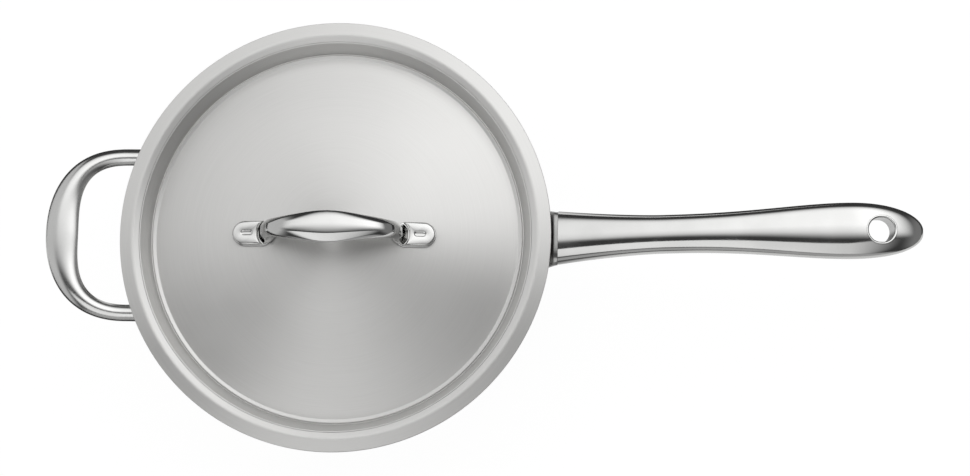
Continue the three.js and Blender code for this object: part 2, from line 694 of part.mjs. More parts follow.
function makeSideLoop() {
  const reach = LIP_RADIUS + LOOP_REACH;
  const bendX = reach - LOOP_BEND_DEPTH;
  const wallX = WALL_RADIUS * Math.cos(rad(LOOP_ARM_TURN_DEG)) - FLANGE_SHEET;
  const armZ = RIM_Z - LOOP_ARM_DROP;
  const station = (x, y, z, grip) => {
    const width = lerp(LOOP_ARM_WIDTH, LOOP_GRIP_WIDTH, grip);
    return {
      centre: new THREE.Vector3(-x, y, z),
      width,
      thickness: lerp(LOOP_ARM_THICKNESS, LOOP_GRIP_THICKNESS, grip),
      crown: (lerp(ARM_CROWN, LOOP_GRIP_CROWN, grip) * width) / 2,
    };
  };
  const stations = [station(wallX, -LOOP_ARM_SPREAD, armZ, 0)];
  for (let i = 0; i <= LOOP_STEPS; i++) {
    const [y, x] = archStep(1 - i / LOOP_STEPS, LOOP_ROUNDNESS);
    const lift = LOOP_GRIP_LIFT * smooth(x);
    const grip = smooth(1 - Math.abs(y)) ** LOOP_SWELL_POWER;
    stations.push(station(bendX + LOOP_BEND_DEPTH * x, LOOP_ARM_SPREAD * y, armZ + lift, grip));
  }
  stations.push(station(wallX, LOOP_ARM_SPREAD, armZ, 0));
  const last = stations.length - 1;
  const up = new THREE.Vector3(0, 0, 1);
  const acrossOf = (i) => {
    const before = stations[Math.max(0, i - 1)].centre;
    const after = stations[Math.min(last, i + 1)].centre;
    const along = after.clone().sub(before).setZ(0).normalize();
    return new THREE.Vector3().crossVectors(up, along);
  };
  const bar = solidFrom(loft(barRings(stations, acrossOf, () => up)));
  const clear = WALL_RADIUS + FLANGE_SHEET + 2 * GAP;
  const wall = new THREE.CylinderGeometry(clear, clear, 4 * RIM_Z, 4 * ROUND_SEGMENTS).rotateX(Math.PI / 2);
  return piece("side_loop", geometryFrom(bar.subtract(solidFrom(wall))), polished());
}

function makeSideFlange(side, word) {
  const facing = 180 - side * LOOP_ARM_TURN_DEG;
  const topZ = RIM_Z - SHOULDER_RADIUS - 2 * GAP;
  const plate = saddle(WALL_RADIUS + GAP, FLANGE_SHEET, FLANGE_WIDTH, FLANGE_HEIGHT, topZ, facing);
  return piece(`side_flange_${word}`, plate, bareSteel());
}

const pan = new THREE.Group();
pan.add(makePanBody(), ...makeBase());
pan.add(makeHandleBracket(), ...makeHandleShells());
pan.add(makeSideLoop(), makeSideFlange(1, "back"), makeSideFlange(-1, "front"));

const lid = new THREE.Group();
lid.add(makeLidShell(), makeLidGrip(), makeFoot(-1, "left"), makeFoot(1, "right"));

const sautePan = new THREE.Group();
sautePan.add(pan, lid);

export default sautePan;
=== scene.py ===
"""Saute pan with a drop-in lid: smooth sheets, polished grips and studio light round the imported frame."""

import logging
import math
from dataclasses import dataclass, field
from enum import Enum
from typing import Any, Callable, Sequence

import bpy
import numpy as np
from mathutils import Matrix, Vector


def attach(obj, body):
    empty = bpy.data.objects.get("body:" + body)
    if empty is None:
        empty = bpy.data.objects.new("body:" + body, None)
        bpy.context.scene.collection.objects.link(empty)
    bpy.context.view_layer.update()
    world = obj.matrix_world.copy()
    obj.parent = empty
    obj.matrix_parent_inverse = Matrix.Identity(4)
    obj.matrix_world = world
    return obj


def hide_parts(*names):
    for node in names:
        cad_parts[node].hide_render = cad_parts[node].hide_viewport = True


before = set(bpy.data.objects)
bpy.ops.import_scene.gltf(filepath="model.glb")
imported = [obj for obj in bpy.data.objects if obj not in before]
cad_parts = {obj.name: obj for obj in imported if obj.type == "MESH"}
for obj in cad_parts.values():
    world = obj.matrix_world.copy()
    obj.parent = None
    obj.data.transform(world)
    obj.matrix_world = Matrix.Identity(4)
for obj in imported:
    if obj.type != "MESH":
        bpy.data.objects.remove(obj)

MM = 0.001
PHOTO_WIDTH_PX = 970
WHITE = (1.0, 1.0, 1.0, 1.0)
MERGE_M = 2e-6
SAME_POINT_MM = 1e-4
FILLET_STEP_DEG = 6
FILLET_SUPPORT_MM = 0.1
log = logging.getLogger("saute_pan")


class Expr:
    """One socket of a node tree, with arithmetic that adds Math nodes."""

    def __init__(self, graph: "Graph", socket: bpy.types.NodeSocket) -> None:
        """Keeps the graph and the socket that this expression stands for."""
        self.graph = graph
        self.socket = socket

    def out(self, name: str) -> "Expr":
        """Another output of the same node, by name."""
        return Expr(self.graph, self.socket.node.outputs[name])

    def math(self, operation: str, *others: Any) -> "Expr":
        """This value and others through one Math node."""
        values = dict(enumerate((self, *others)))
        return self.graph.node("ShaderNodeMath", {"operation": operation}, values)

    def step(self, low: float, high: float) -> "Expr":
        """A smooth step from 0 at low to 1 at high."""
        inputs = {"Value": self, "From Min": low, "From Max": high}
        return self.graph.node("ShaderNodeMapRange", {"interpolation_type": "SMOOTHSTEP"}, inputs)

    def split(self) -> tuple["Expr", "Expr", "Expr"]:
        """The three parts of a vector."""
        parts = self.graph.node("ShaderNodeSeparateXYZ", None, {0: self})
        return parts, parts.out("Y"), parts.out("Z")

    def __add__(self, other: Any) -> "Expr":
        """Sum."""
        return self.math("ADD", other)

    def __sub__(self, other: Any) -> "Expr":
        """Difference."""
        return self.math("SUBTRACT", other)

    def __rsub__(self, other: Any) -> "Expr":
        """Difference from a number."""
        return self.math("MULTIPLY", -1.0) + other

    def __mul__(self, other: Any) -> "Expr":
        """Product."""
        return self.math("MULTIPLY", other)

    def __truediv__(self, other: Any) -> "Expr":
        """Quotient."""
        return self.math("DIVIDE", other)

    def __rtruediv__(self, other: Any) -> "Expr":
        """Quotient of a number by this value."""
        return self.graph.node("ShaderNodeMath", {"operation": "DIVIDE"}, {0: other, 1: self})

    def __pow__(self, other: Any) -> "Expr":
        """Power."""
        return self.math("POWER", other)

    def __rpow__(self, other: Any) -> "Expr":
        """Power of a number to this value."""
        return self.graph.node("ShaderNodeMath", {"operation": "POWER"}, {0: other, 1: self})

    def __neg__(self) -> "Expr":
        """Negative."""
        return self.math("MULTIPLY", -1.0)

    def signed_power(self, exponent: Any) -> "Expr":
        """The power of the size, with the value's own sign."""
        return self.math("SIGN") * (self.math("ABSOLUTE") ** exponent)

    __radd__ = __add__
    __rmul__ = __mul__


class Graph:
    """A node tree that is filled by expressions."""

    def __init__(self, tree: bpy.types.NodeTree) -> None:
        """Starts from an empty tree."""
        self.tree = tree
        tree.nodes.clear()

    def node(self, kind: str, settings: dict | None = None, inputs: dict | None = None) -> Expr:
        """Adds any node.

        Args:
            kind: The node's type name.
            settings: Properties that are set before its sockets are used.
            inputs: Values or expressions by socket name, identifier or index.

        Returns:
            The node's first output that is in use.
        """
        made = self.tree.nodes.new(kind)
        for key, value in (settings or {}).items():
            setattr(made, key, value)
        for key, value in (inputs or {}).items():
            self.feed(self.find(made, key), value)
        shown = [s for s in made.outputs if s.enabled and not s.is_unavailable]
        return Expr(self, shown[0]) if shown else Expr(self, made.inputs[0])

    @staticmethod
    def find(made: bpy.types.Node, key: str | int) -> bpy.types.NodeSocket:
        """An input socket by index, identifier or name.

        Args:
            made: The node.
            key: The socket's index, identifier or name.

        Returns:
            The socket.
        """
        if isinstance(key, int):
            return made.inputs[key]
        for socket in made.inputs:
            if key in (socket.identifier, socket.name) and not socket.is_unavailable:
                return socket
        raise KeyError(f"{made.bl_idname} has no input {key}")

    def feed(self, socket: bpy.types.NodeSocket, value: Any) -> None:
        """Links an expression to a socket, or sets its value.

        Args:
            socket: The input socket.
            value: An expression or a plain value.
        """
        if isinstance(value, Expr):
            self.tree.links.new(value.socket, socket)
        else:
            socket.default_value = value

    def mix_colors(self, factor: Expr, low: Sequence[float], high: Sequence[float]) -> Expr:
        """A colour between two greys or tints."""
        inputs = {"Factor_Float": factor, "A_Color": (*low, 1.0), "B_Color": (*high, 1.0)}
        return self.node("ShaderNodeMix", {"data_type": "RGBA"}, inputs)

    def noise(self, vector: Expr, scale: float, detail: float) -> Expr:
        """Noise of a scale, with octaves of detail."""
        return self.node("ShaderNodeTexNoise", None, {"Vector": vector, "Scale": scale, "Detail": detail})

    def bump(self, height: Expr, strength: float, rise_mm: float) -> Expr:
        """A normal that is bent by a height field."""
        inputs = {"Height": height, "Strength": strength, "Distance": rise_mm * MM}
        return self.node("ShaderNodeBump", None, inputs)

    def glow(self, strength: Expr | float) -> Expr:
        """White light of a strength."""
        return self.node("ShaderNodeEmission", None, {"Color": WHITE, "Strength": strength})

    def mixed(self, factor: Expr, first: Expr, second: Expr) -> Expr:
        """Two shaders, mixed by a factor."""
        return self.node("ShaderNodeMixShader", None, {0: factor, 1: first, 2: second})


class Section(Enum):
    """The outline that a sweep carries along its path."""

    CROWNED_BAR = "crowned_bar"
    SOFT_OBLONG = "soft_oblong"
    HALF_SHELL = "half_shell"


class FormTree:
    """Geometry Nodes that turn a line of points into a finished form."""

    def __init__(self, name: str, sizes: dict[str, str]) -> None:
        """Makes the group with its named inputs.

        Args:
            name: The group's name.
            sizes: Input names with their socket types.
        """
        self.tree = bpy.data.node_groups.new(name, "GeometryNodeTree")
        self.graph = Graph(self.tree)
        face = self.tree.interface
        face.new_socket(name="Geometry", in_out="INPUT", socket_type="NodeSocketGeometry")
        self.keys = {}
        for label, kind in {**sizes, "Finish": "NodeSocketMaterial"}.items():
            self.keys[label] = face.new_socket(name=label, in_out="INPUT", socket_type=kind).identifier
        face.new_socket(name="Geometry", in_out="OUTPUT", socket_type="NodeSocketGeometry")
        self.start = self.graph.node("NodeGroupInput")

    def grid(self, columns: Expr | float, rows: Expr | float) -> tuple[Expr, Expr, Expr]:
        """A grid of points with the column and row of each.

        Args:
            columns: Points along.
            rows: Points round.

        Returns:
            The grid, and each point's column and row.
        """
        grid = self.graph.node("GeometryNodeMeshGrid", None, {"Vertices X": columns, "Vertices Y": rows})
        index = self.graph.node("GeometryNodeInputIndex")
        column = ((index + 0.5) / rows).math("FLOOR")
        return grid, column, index - column * rows

    def sample(self, source: Expr, value: Expr, index: Expr, kind: str) -> Expr:
        """A value of the source geometry at one of its points."""
        inputs = {"Geometry": source, "Value": value, "Index": index}
        return self.graph.node("GeometryNodeSampleIndex", {"data_type": kind}, inputs)

    def named(self, label: str, kind: str) -> Expr:
        """A named attribute of the points."""
        return self.graph.node("GeometryNodeInputNamedAttribute", {"data_type": kind}, {"Name": label})

    def close(self, geometry: Expr, position: Expr) -> None:
        """Places the grid's points, closes its seams and hands the form over.

        Args:
            geometry: The grid.
            position: Where each of its points goes.
        """
        graph = self.graph
        placed = graph.node("GeometryNodeSetPosition", None, {"Geometry": geometry, "Position": position})
        merged = graph.node("GeometryNodeMergeByDistance", None, {"Geometry": placed, "Distance": MERGE_M})
        smooth = graph.node("GeometryNodeSetShadeSmooth", None, {"Geometry": merged})
        real = graph.node("GeometryNodeRealizeInstances", None, {"Geometry": smooth})
        finish = self.start.out("Finish")
        done = graph.node("GeometryNodeSetMaterial", None, {"Geometry": real, "Material": finish})
        graph.node("NodeGroupOutput", None, {"Geometry": done})

    def make(self, name: str, line: "Line", sizes: dict[str, Any]) -> bpy.types.Object:
        """Runs the tree on a line of points.

        Args:
            name: The new piece's name.
            line: The points and their attributes.
            sizes: The tree's inputs by name.

        Returns:
            A plain mesh object with no modifier.
        """
        piece = line.build(name)
        modifier = piece.modifiers.new("form", "NODES")
        modifier.node_group = self.tree
        for label, value in sizes.items():
            modifier[self.keys[label]] = value
        return baked(piece)


class SpunTree(FormTree):
    """Spins a profile line of (radius, 0, height) points round the Z axis."""

    def __init__(self) -> None:
        """Builds the nodes."""
        super().__init__("spun sheet", {"Segments": "NodeSocketInt"})
        graph, segments = self.graph, self.start.out("Segments")
        profile = self.start.out("Geometry")
        count = graph.node("GeometryNodeAttributeDomainSize", None, {"Geometry": profile})
        grid, column, row = self.grid(segments + 1, count)
        point = self.sample(profile, graph.node("GeometryNodeInputPosition"), row, "FLOAT_VECTOR")
        angle = column / segments * math.tau
        radius, _, height = point.split()
        spun = {"X": radius * angle.math("COSINE"), "Y": radius * angle.math("SINE"), "Z": height}
        self.close(grid, graph.node("ShaderNodeCombineXYZ", None, spun))


class SweptTree(FormTree):
    """Carries a section along a path, with its sizes taken from the path's points."""

    FLANK_POWER = 1.3

    def __init__(self, section: Section) -> None:
        """Builds the nodes for one kind of section.

        Args:
            section: A cast bar, a soft oblong, or half of a drawn shell with its wall.
        """
        floats = dict.fromkeys(("Power", "Seam", "Ridge", "Domed"), "NodeSocketFloat")
        super().__init__(section.value, {"Around": "NodeSocketInt"} | floats)
        path, around = self.start.out("Geometry"), self.start.out("Around")
        count = self.graph.node("GeometryNodeAttributeDomainSize", None, {"Geometry": path})
        rows = around * 2 + 3 if section is Section.HALF_SHELL else around + 1
        grid, column, row = self.grid(count, rows)
        self.sizes = {k: self.sample(path, self.named(k, "FLOAT"), column, "FLOAT") for k in Line.SIZES}
        outline = {
            Section.CROWNED_BAR: self.crowned_bar,
            Section.SOFT_OBLONG: self.soft_oblong,
            Section.HALF_SHELL: self.half_shell,
        }[section]
        across, above = outline(row, around)
        self.close(grid, self.placed(path, column, across, above))

    def crowned_bar(self, row: Expr, around: Expr) -> tuple[Expr, Expr]:
        """A crowned top with a ridge on each side, over a round belly.

        Args:
            row: The point's row in the grid.
            around: Steps round the section.

        Returns:
            The point's place across and above the path.
        """
        angle = row / around * math.tau
        side, rise = angle.math("COSINE"), angle.math("SINE")
        crown, half = self.sizes["crown"], self.sizes["half_height"]
        ridge, domed = self.start.out("Ridge"), self.start.out("Domed")
        flank = ((side.math("ABSOLUTE") - ridge) / (1 - ridge)).math("MAXIMUM", 0.0) ** self.FLANK_POWER
        fall = side * side * domed + flank * (1 - domed)
        top = (1 - fall).math("MAXIMUM", 0.0) ** self.start.out("Power") * crown
        top = top * rise.math("GREATER_THAN", 0.0)
        belly = rise.math("MINIMUM", 0.0) * (half * 2.0 - crown)
        return self.sizes["half_width"] * side, half - crown + top + belly

    def soft_oblong(self, row: Expr, around: Expr) -> tuple[Expr, Expr]:
        """A rounded rectangle."""
        angle = row / around * math.tau
        return self.oblong(angle, self.sizes["half_width"], self.sizes["half_height"])

    def half_shell(self, row: Expr, around: Expr) -> tuple[Expr, Expr]:
        """Half of a rounded rectangle and back along the inside of its wall.

        Args:
            row: The point's row in the grid.
            around: Steps round the section.

        Returns:
            The point's place across and above the path.
        """
        inside = row.math("GREATER_THAN", around + 0.5)
        last = row.math("GREATER_THAN", around * 2 + 1.5)
        there = row.math("MINIMUM", around)
        back = (around * 2 + 1 - row).math("MAXIMUM", 0.0).math("MINIMUM", around)
        within = inside * (1 - last)
        angle = (there * (1 - inside) + back * within) / around * math.pi
        wide, high = self.sizes["half_width"], self.sizes["half_height"]
        wide = wide + (self.sizes["inner_width"] - wide) * within
        high = high + (self.sizes["inner_height"] - high) * within
        seam = self.start.out("Seam")
        across, above = self.oblong(angle, wide, (high - seam).math("MAXIMUM", 0.0))
        return across, above + seam

    def oblong(self, angle: Expr, wide: Expr, high: Expr) -> tuple[Expr, Expr]:
        """A point of a superellipse with the tree's power."""
        power = self.start.out("Power")
        return wide * angle.math("COSINE").signed_power(power), high * angle.math("SINE").signed_power(power)

    def placed(self, path: Expr, column: Expr, across: Expr, above: Expr) -> Expr:
        """A section point in the frame of its place on the path.

        Args:
            path: The line's points.
            column: The point's column in the grid.
            across: Its distance to the side.
            above: Its distance upwards.

        Returns:
            The point's place in the scene.
        """
        graph = self.graph
        centre = self.sample(path, graph.node("GeometryNodeInputPosition"), column, "FLOAT_VECTOR")
        for label, amount in (("across", across), ("up", above)):
            axis = self.sample(path, self.named(label, "FLOAT_VECTOR"), column, "FLOAT_VECTOR")
            scaled = {"Vector": axis, "Scale": amount}
            part = graph.node("ShaderNodeVectorMath", {"operation": "SCALE"}, scaled)
            centre = graph.node("ShaderNodeVectorMath", {"operation": "ADD"}, {0: centre, 1: part})
        return centre


@dataclass
class Line:
    """Points in order, in millimetres, with the sizes and directions that a sweep reads."""

    SIZES = ("half_width", "half_height", "crown", "inner_width", "inner_height")

    points: np.ndarray
    sizes: dict[str, np.ndarray] = field(default_factory=dict)
    axes: dict[str, np.ndarray] = field(default_factory=dict)

    def build(self, name: str) -> bpy.types.Object:
        """The points as a mesh object with attributes, in metres.

        Args:
            name: The new object's name.

        Returns:
            The new object.
        """
        mesh = bpy.data.meshes.new(name)
        mesh.from_pydata((np.asarray(self.points, float) * MM).tolist(), [], [])
        for label, values in self.sizes.items():
            mesh.attributes.new(label, "FLOAT", "POINT").data.foreach_set("value", np.asarray(values) * MM)
        for label, values in self.axes.items():
            store = mesh.attributes.new(label, "FLOAT_VECTOR", "POINT")
            store.data.foreach_set("vector", np.asarray(values, float).ravel())
        return linked(bpy.data.objects.new(name, mesh))


def linked(piece: bpy.types.Object) -> bpy.types.Object:
    """Puts an object in the scene."""
    bpy.context.scene.collection.objects.link(piece)
    return piece


def baked(piece: bpy.types.Object) -> bpy.types.Object:
    """Replaces a piece's mesh by its evaluated one and removes its modifiers.

    Args:
        piece: The object, which is changed in place.

    Returns:
        The same object.
    """
    bpy.context.view_layer.update()
    graph = bpy.context.evaluated_depsgraph_get()
    mesh = bpy.data.meshes.new_from_object(piece.evaluated_get(graph), depsgraph=graph)
    piece.modifiers.clear()
    piece.data = mesh
    mesh.name = piece.name
    return piece


def from_rings(name: str, rings: Sequence[np.ndarray], finish: bpy.types.Material) -> bpy.types.Object:
    """A closed mesh through rings of equal length, in millimetres.

    Args:
        name: The new piece's name.
        rings: Rings in order; the first and last are closed by a face.
        finish: The piece's material.

    Returns:
        The new object.
    """
    count = len(rings[0])
    faces = []
    for i in range(len(rings) - 1):
        for k in range(count):
            a, b = i * count + k, i * count + (k + 1) % count
            faces.append((a, b, b + count, a + count))
    last = (len(rings) - 1) * count
    faces.append(tuple(range(count - 1, -1, -1)))
    faces.append(tuple(range(last, last + count)))
    mesh = bpy.data.meshes.new(name)
    mesh.from_pydata((np.concatenate(rings) * MM).tolist(), [], faces)
    mesh.shade_smooth()
    mesh.materials.append(finish)
    return linked(bpy.data.objects.new(name, mesh))


def cut(piece: bpy.types.Object, tool: bpy.types.Object) -> bpy.types.Object:
    """Cuts a tool's shape out of a piece and removes the tool.

    Args:
        piece: The object, which is changed in place.
        tool: The closed mesh to take away.

    Returns:
        The same object.
    """
    modifier = piece.modifiers.new("cut", "BOOLEAN")
    modifier.operation = "DIFFERENCE"
    modifier.solver = "EXACT"
    modifier.object = tool
    baked(piece)
    bpy.data.objects.remove(tool)
    return piece


def crisp(piece: bpy.types.Object, angle_deg: float) -> bpy.types.Object:
    """Keeps edges sharper than the angle crisp under smooth shading.

    Args:
        piece: The object, which is changed in place.
        angle_deg: The least angle of a crisp edge.

    Returns:
        The same object.
    """
    piece.data.shade_smooth()
    piece.data.set_sharp_from_angle(angle=math.radians(angle_deg))
    return piece


def dress(piece: bpy.types.Object, body: str, slot: str, *nodes: str) -> bpy.types.Object:
    """Rides a piece on its body and stands it for its CAD nodes.

    Args:
        piece: The finished piece.
        body: The CAD body that it moves with.
        slot: The record's material slot; not used.
        *nodes: The CAD nodes that it stands for.

    Returns:
        The same object.
    """
    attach(piece, body)
    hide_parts(*nodes)
    log.info("%s: %d faces on %s", piece.name, len(piece.data.polygons), body)
    return piece


def arc(centre: tuple[float, float], radius: float, start: float, end: float, step: float = 4.0) -> list:
    """Points of an arc in the (radius, height) plane, ends included, angles in degrees.

    Args:
        centre: The arc's centre.
        radius: Its radius.
        start: Where it starts.
        end: Where it ends.
        step: The widest angle between two points.

    Returns:
        The points as pairs.
    """
    count = max(2, math.ceil(abs(end - start) / step))
    turns = np.radians(np.linspace(start, end, count + 1))
    return [(centre[0] + radius * math.cos(t), centre[1] + radius * math.sin(t)) for t in turns]


def spread(points: Sequence[tuple[float, float]], gap: float = 3.0) -> np.ndarray:
    """A profile with its long straight runs divided, as (radius, 0, height) rows.

    Args:
        points: The profile's points as pairs.
        gap: The longest run that is left whole.

    Returns:
        One row for each point.
    """
    rows = [points[0]]
    for point in points[1:]:
        length = math.dist(rows[-1], point)
        if length < SAME_POINT_MM:
            continue
        start, count = rows[-1], max(1, math.ceil(length / gap))
        for i in range(1, count + 1):
            rows.append(tuple(np.add(start, np.subtract(point, start) * (i / count))))
    return np.array([(r, 0.0, z) for r, z in rows])


def filleted(corners: Sequence[tuple[float, float]], radii: Sequence[float]) -> list:
    """A line through corners in the (radius, height) plane, with its inner corners rounded.

    Args:
        corners: Points in order.
        radii: A radius for each inner corner.

    Returns:
        Points of the rounded line, both ends included.
    """
    points = [np.array(c, float) for c in corners]
    line = [tuple(points[0])]
    for before, corner, after, radius in zip(points, points[1:], points[2:], radii):
        a, b = (before - corner) / math.dist(before, corner), (after - corner) / math.dist(after, corner)
        half = math.acos(float(np.clip(a @ b, -1.0, 1.0))) / 2
        middle = corner + (a + b) / np.linalg.norm(a + b) * radius / math.sin(half)
        reach = radius / math.tan(half)
        first, last = np.subtract(corner + a * reach, middle), np.subtract(corner + b * reach, middle)
        sweep = math.pi - 2 * half
        line.append(tuple(corner + a * (reach + FILLET_SUPPORT_MM)))
        for u in np.linspace(0, 1, max(3, math.ceil(math.degrees(sweep) / FILLET_STEP_DEG)) + 1):
            spoke = (first * math.sin((1 - u) * sweep) + last * math.sin(u * sweep)) / math.sin(sweep)
            line.append(tuple(middle + spoke))
        line.append(tuple(corner + b * (reach + FILLET_SUPPORT_MM)))
    return [*line, tuple(points[-1])]


def smooth(u: np.ndarray | float) -> np.ndarray:
    """A smooth step of values between 0 and 1."""
    u = np.clip(u, 0.0, 1.0)
    return u * u * (3 - 2 * u)


def lerp(a: Any, b: Any, u: Any) -> Any:
    """A value between two others."""
    return a + (b - a) * u


def signed_power(value: np.ndarray, power: float) -> np.ndarray:
    """The power of the size, with the value's own sign."""
    return np.sign(value) * np.abs(value) ** power


def repeated(axis: tuple[float, float, float], count: int) -> np.ndarray:
    """One direction for each of a number of points."""
    return np.tile(axis, (count, 1))


def rolled(edge: float, count: int) -> list[tuple[float, float]]:
    """Steps round a rolled edge, each as its distance inside the outline and below the top."""
    turns = np.radians(np.linspace(0, 90, count))
    return [(edge * (1 - math.cos(t)), edge * (1 - math.sin(t))) for t in turns]


@dataclass
class Forms:
    """The Geometry Nodes trees that the sub-assemblies share."""

    spun: SpunTree = field(default_factory=SpunTree)
    bar: SweptTree = field(default_factory=lambda: SweptTree(Section.CROWNED_BAR))
    oblong: SweptTree = field(default_factory=lambda: SweptTree(Section.SOFT_OBLONG))
    shell: SweptTree = field(default_factory=lambda: SweptTree(Section.HALF_SHELL))
    segments: int = 288

    def spin(self, name: str, profile: Sequence, finish: bpy.types.Material) -> bpy.types.Object:
        """A spun sheet from an anticlockwise profile in millimetres."""
        sizes = {"Segments": self.segments, "Finish": finish}
        return crisp(self.spun.make(name, Line(spread(profile)), sizes), angle_deg=40.0)


def painted(name: str, surface: Callable[[Graph, Expr], Expr]) -> bpy.types.Material:
    """A material of nodes on Object coordinates.

    Args:
        name: The new material's name.
        surface: Adds a finish's nodes to a graph, from its coordinates, and returns the shader.

    Returns:
        The new material.
    """
    made = bpy.data.materials.new(name)
    made.use_nodes = True
    graph = Graph(made.node_tree)
    place = graph.node("ShaderNodeTexCoord").out("Object")
    graph.node("ShaderNodeOutputMaterial", None, {"Surface": surface(graph, place)})
    return made


@dataclass(frozen=True)
class SatinSteel:
    """Circular-brushed satin steel, the finish of the drawn sheets."""

    low: tuple[float, float, float] = (0.622, 0.619, 0.609)
    high: tuple[float, float, float] = (0.66, 0.657, 0.647)
    tone_range: tuple[float, float] = (0.25, 0.75)
    roughness: float = 0.406
    unevenness: float = 0.06
    anisotropy: float = 0.72
    brush_turn: float = 0.25
    rings_per_mm: float = 3.2
    ring_breaks: float = 30.0
    ring_share: float = 0.7
    ring_depth: float = 0.05
    ring_rise_mm: float = 0.02
    wear_scale: float = 26.0

    def surface(self, graph: Graph, place: Expr) -> Expr:
        """Fine rings round Z in colour, roughness and bump, with slow wear.

        Args:
            graph: The material's graph.
            place: Object coordinates.

        Returns:
            The shader.
        """
        x, y, _ = place.split()
        radius = (x * x + y * y).math("SQRT")
        across, breaks = radius * (self.rings_per_mm / MM), self.ring_breaks
        turned = graph.node("ShaderNodeCombineXYZ", None, {"X": across, "Y": x * breaks, "Z": y * breaks})
        rings = graph.noise(turned, 1.0, 3.0)
        wear = graph.noise(place, self.wear_scale, 4.0)
        tone = rings * self.ring_share + wear * (1 - self.ring_share)
        uneven = (rings - 0.5) * self.unevenness + (wear - 0.5) * self.unevenness
        shader = {
            "Base Color": graph.mix_colors(tone.step(*self.tone_range), self.low, self.high),
            "Metallic": 1.0,
            "Roughness": uneven + self.roughness,
            "Normal": graph.bump(rings, self.ring_depth, self.ring_rise_mm),
            "Anisotropic": self.anisotropy,
            "Anisotropic Rotation": self.brush_turn,
        }
        return graph.node("ShaderNodeBsdfPrincipled", None, shader)


@dataclass(frozen=True)
class PolishedSteel:
    """Polished steel with faint buffing marks, the finish of the grips and the bracket."""

    low: tuple[float, float, float] = (0.55, 0.55, 0.543)
    high: tuple[float, float, float] = (0.6, 0.6, 0.593)
    roughness: float = 0.085
    tone_range: tuple[float, float] = (0.3, 0.7)
    smudge: float = 0.05
    smudge_range: tuple[float, float] = (0.42, 0.75)
    wear_scale: float = 34.0
    wave_depth: float = 0.05
    wave_rise_mm: float = 0.4
    wave_scale: float = 55.0
    wave_share: float = 0.9
    mark_scale: float = 900.0
    mark_stretch: float = 0.12
    mark_share: float = 0.02
    mark_change: float = 0.04

    def surface(self, graph: Graph, place: Expr) -> Expr:
        """Smudges in roughness, buffing marks and a slow waviness.

        Args:
            graph: The material's graph.
            place: Object coordinates.

        Returns:
            The shader.
        """
        drawn = {"Vector": place, "Scale": (self.mark_stretch, 1.0, 1.0)}
        marks = graph.noise(graph.node("ShaderNodeMapping", None, drawn), self.mark_scale, 2.0)
        wear = graph.noise(place, self.wear_scale, 5.0)
        wave = graph.noise(place, self.wave_scale, 0.0)
        uneven = wear.step(*self.smudge_range) * self.smudge + (marks - 0.5) * self.mark_change
        height = wave * self.wave_share + marks * self.mark_share
        shader = {
            "Base Color": graph.mix_colors(wear.step(*self.tone_range), self.low, self.high),
            "Metallic": 1.0,
            "Roughness": uneven + self.roughness,
            "Normal": graph.bump(height, self.wave_depth, self.wave_rise_mm),
        }
        return graph.node("ShaderNodeBsdfPrincipled", None, shader)


@dataclass(frozen=True)
class CoreAluminium:
    """Pressed aluminium with a fine grain, the finish of the hidden core."""

    low: tuple[float, float, float] = (0.52, 0.53, 0.54)
    high: tuple[float, float, float] = (0.66, 0.67, 0.68)
    roughness: float = 0.5
    grain_scale: float = 420.0
    grain_depth: float = 0.15
    grain_rise_mm: float = 0.05
    grain_change: float = 0.12
    stain_scale: float = 40.0
    stain_change: float = 0.1

    def surface(self, graph: Graph, place: Expr) -> Expr:
        """A fine grain and slow stains.

        Args:
            graph: The material's graph.
            place: Object coordinates.

        Returns:
            The shader.
        """
        grain = graph.noise(place, self.grain_scale, 3.0)
        stain = graph.noise(place, self.stain_scale, 4.0)
        uneven = (grain - 0.5) * self.grain_change + (stain - 0.5) * self.stain_change
        shader = {
            "Base Color": graph.mix_colors(grain * 0.5 + stain * 0.5, self.low, self.high),
            "Metallic": 1.0,
            "Roughness": uneven + self.roughness,
            "Normal": graph.bump(grain, self.grain_depth, self.grain_rise_mm),
        }
        return graph.node("ShaderNodeBsdfPrincipled", None, shader)


class Finishes:
    """The materials of the record's four slots, with two variants of the polished steel; the loop's copy is
    lighter with painted light, and the bore's and the bracket's copies are darker with painted shade.
    """

    def __init__(self) -> None:
        """Makes the six materials."""
        # A lighter copy of the polished steel for the helper loop: painted light that brightens it, with a
        # rougher shine.
        soft = PolishedSteel((0.6, 0.6, 0.593), (0.65, 0.65, 0.643), 0.2)
        # A darker copy for the bore of the hanging hole: painted shade, with a rougher finish.
        bore_shaded = PolishedSteel((0.44, 0.44, 0.435), (0.5, 0.5, 0.495), 0.27)
        # A darker copy for the bracket and the flanges under the lip: painted shade, with a rougher finish.
        dull_and_shaded = PolishedSteel((0.34, 0.34, 0.335), (0.4, 0.4, 0.395), 0.2)
        self.satin = painted("satin_steel", SatinSteel().surface)
        self.polished = painted("polished_steel", PolishedSteel().surface)
        self.loop = painted("polished_steel_soft_lit", soft.surface)
        self.bore_shaded = painted("polished_steel_bore_shade", bore_shaded.surface)
        self.bracket = painted("bracket_steel", dull_and_shaded.surface)
        self.core = painted("aluminium_core", CoreAluminium().surface)


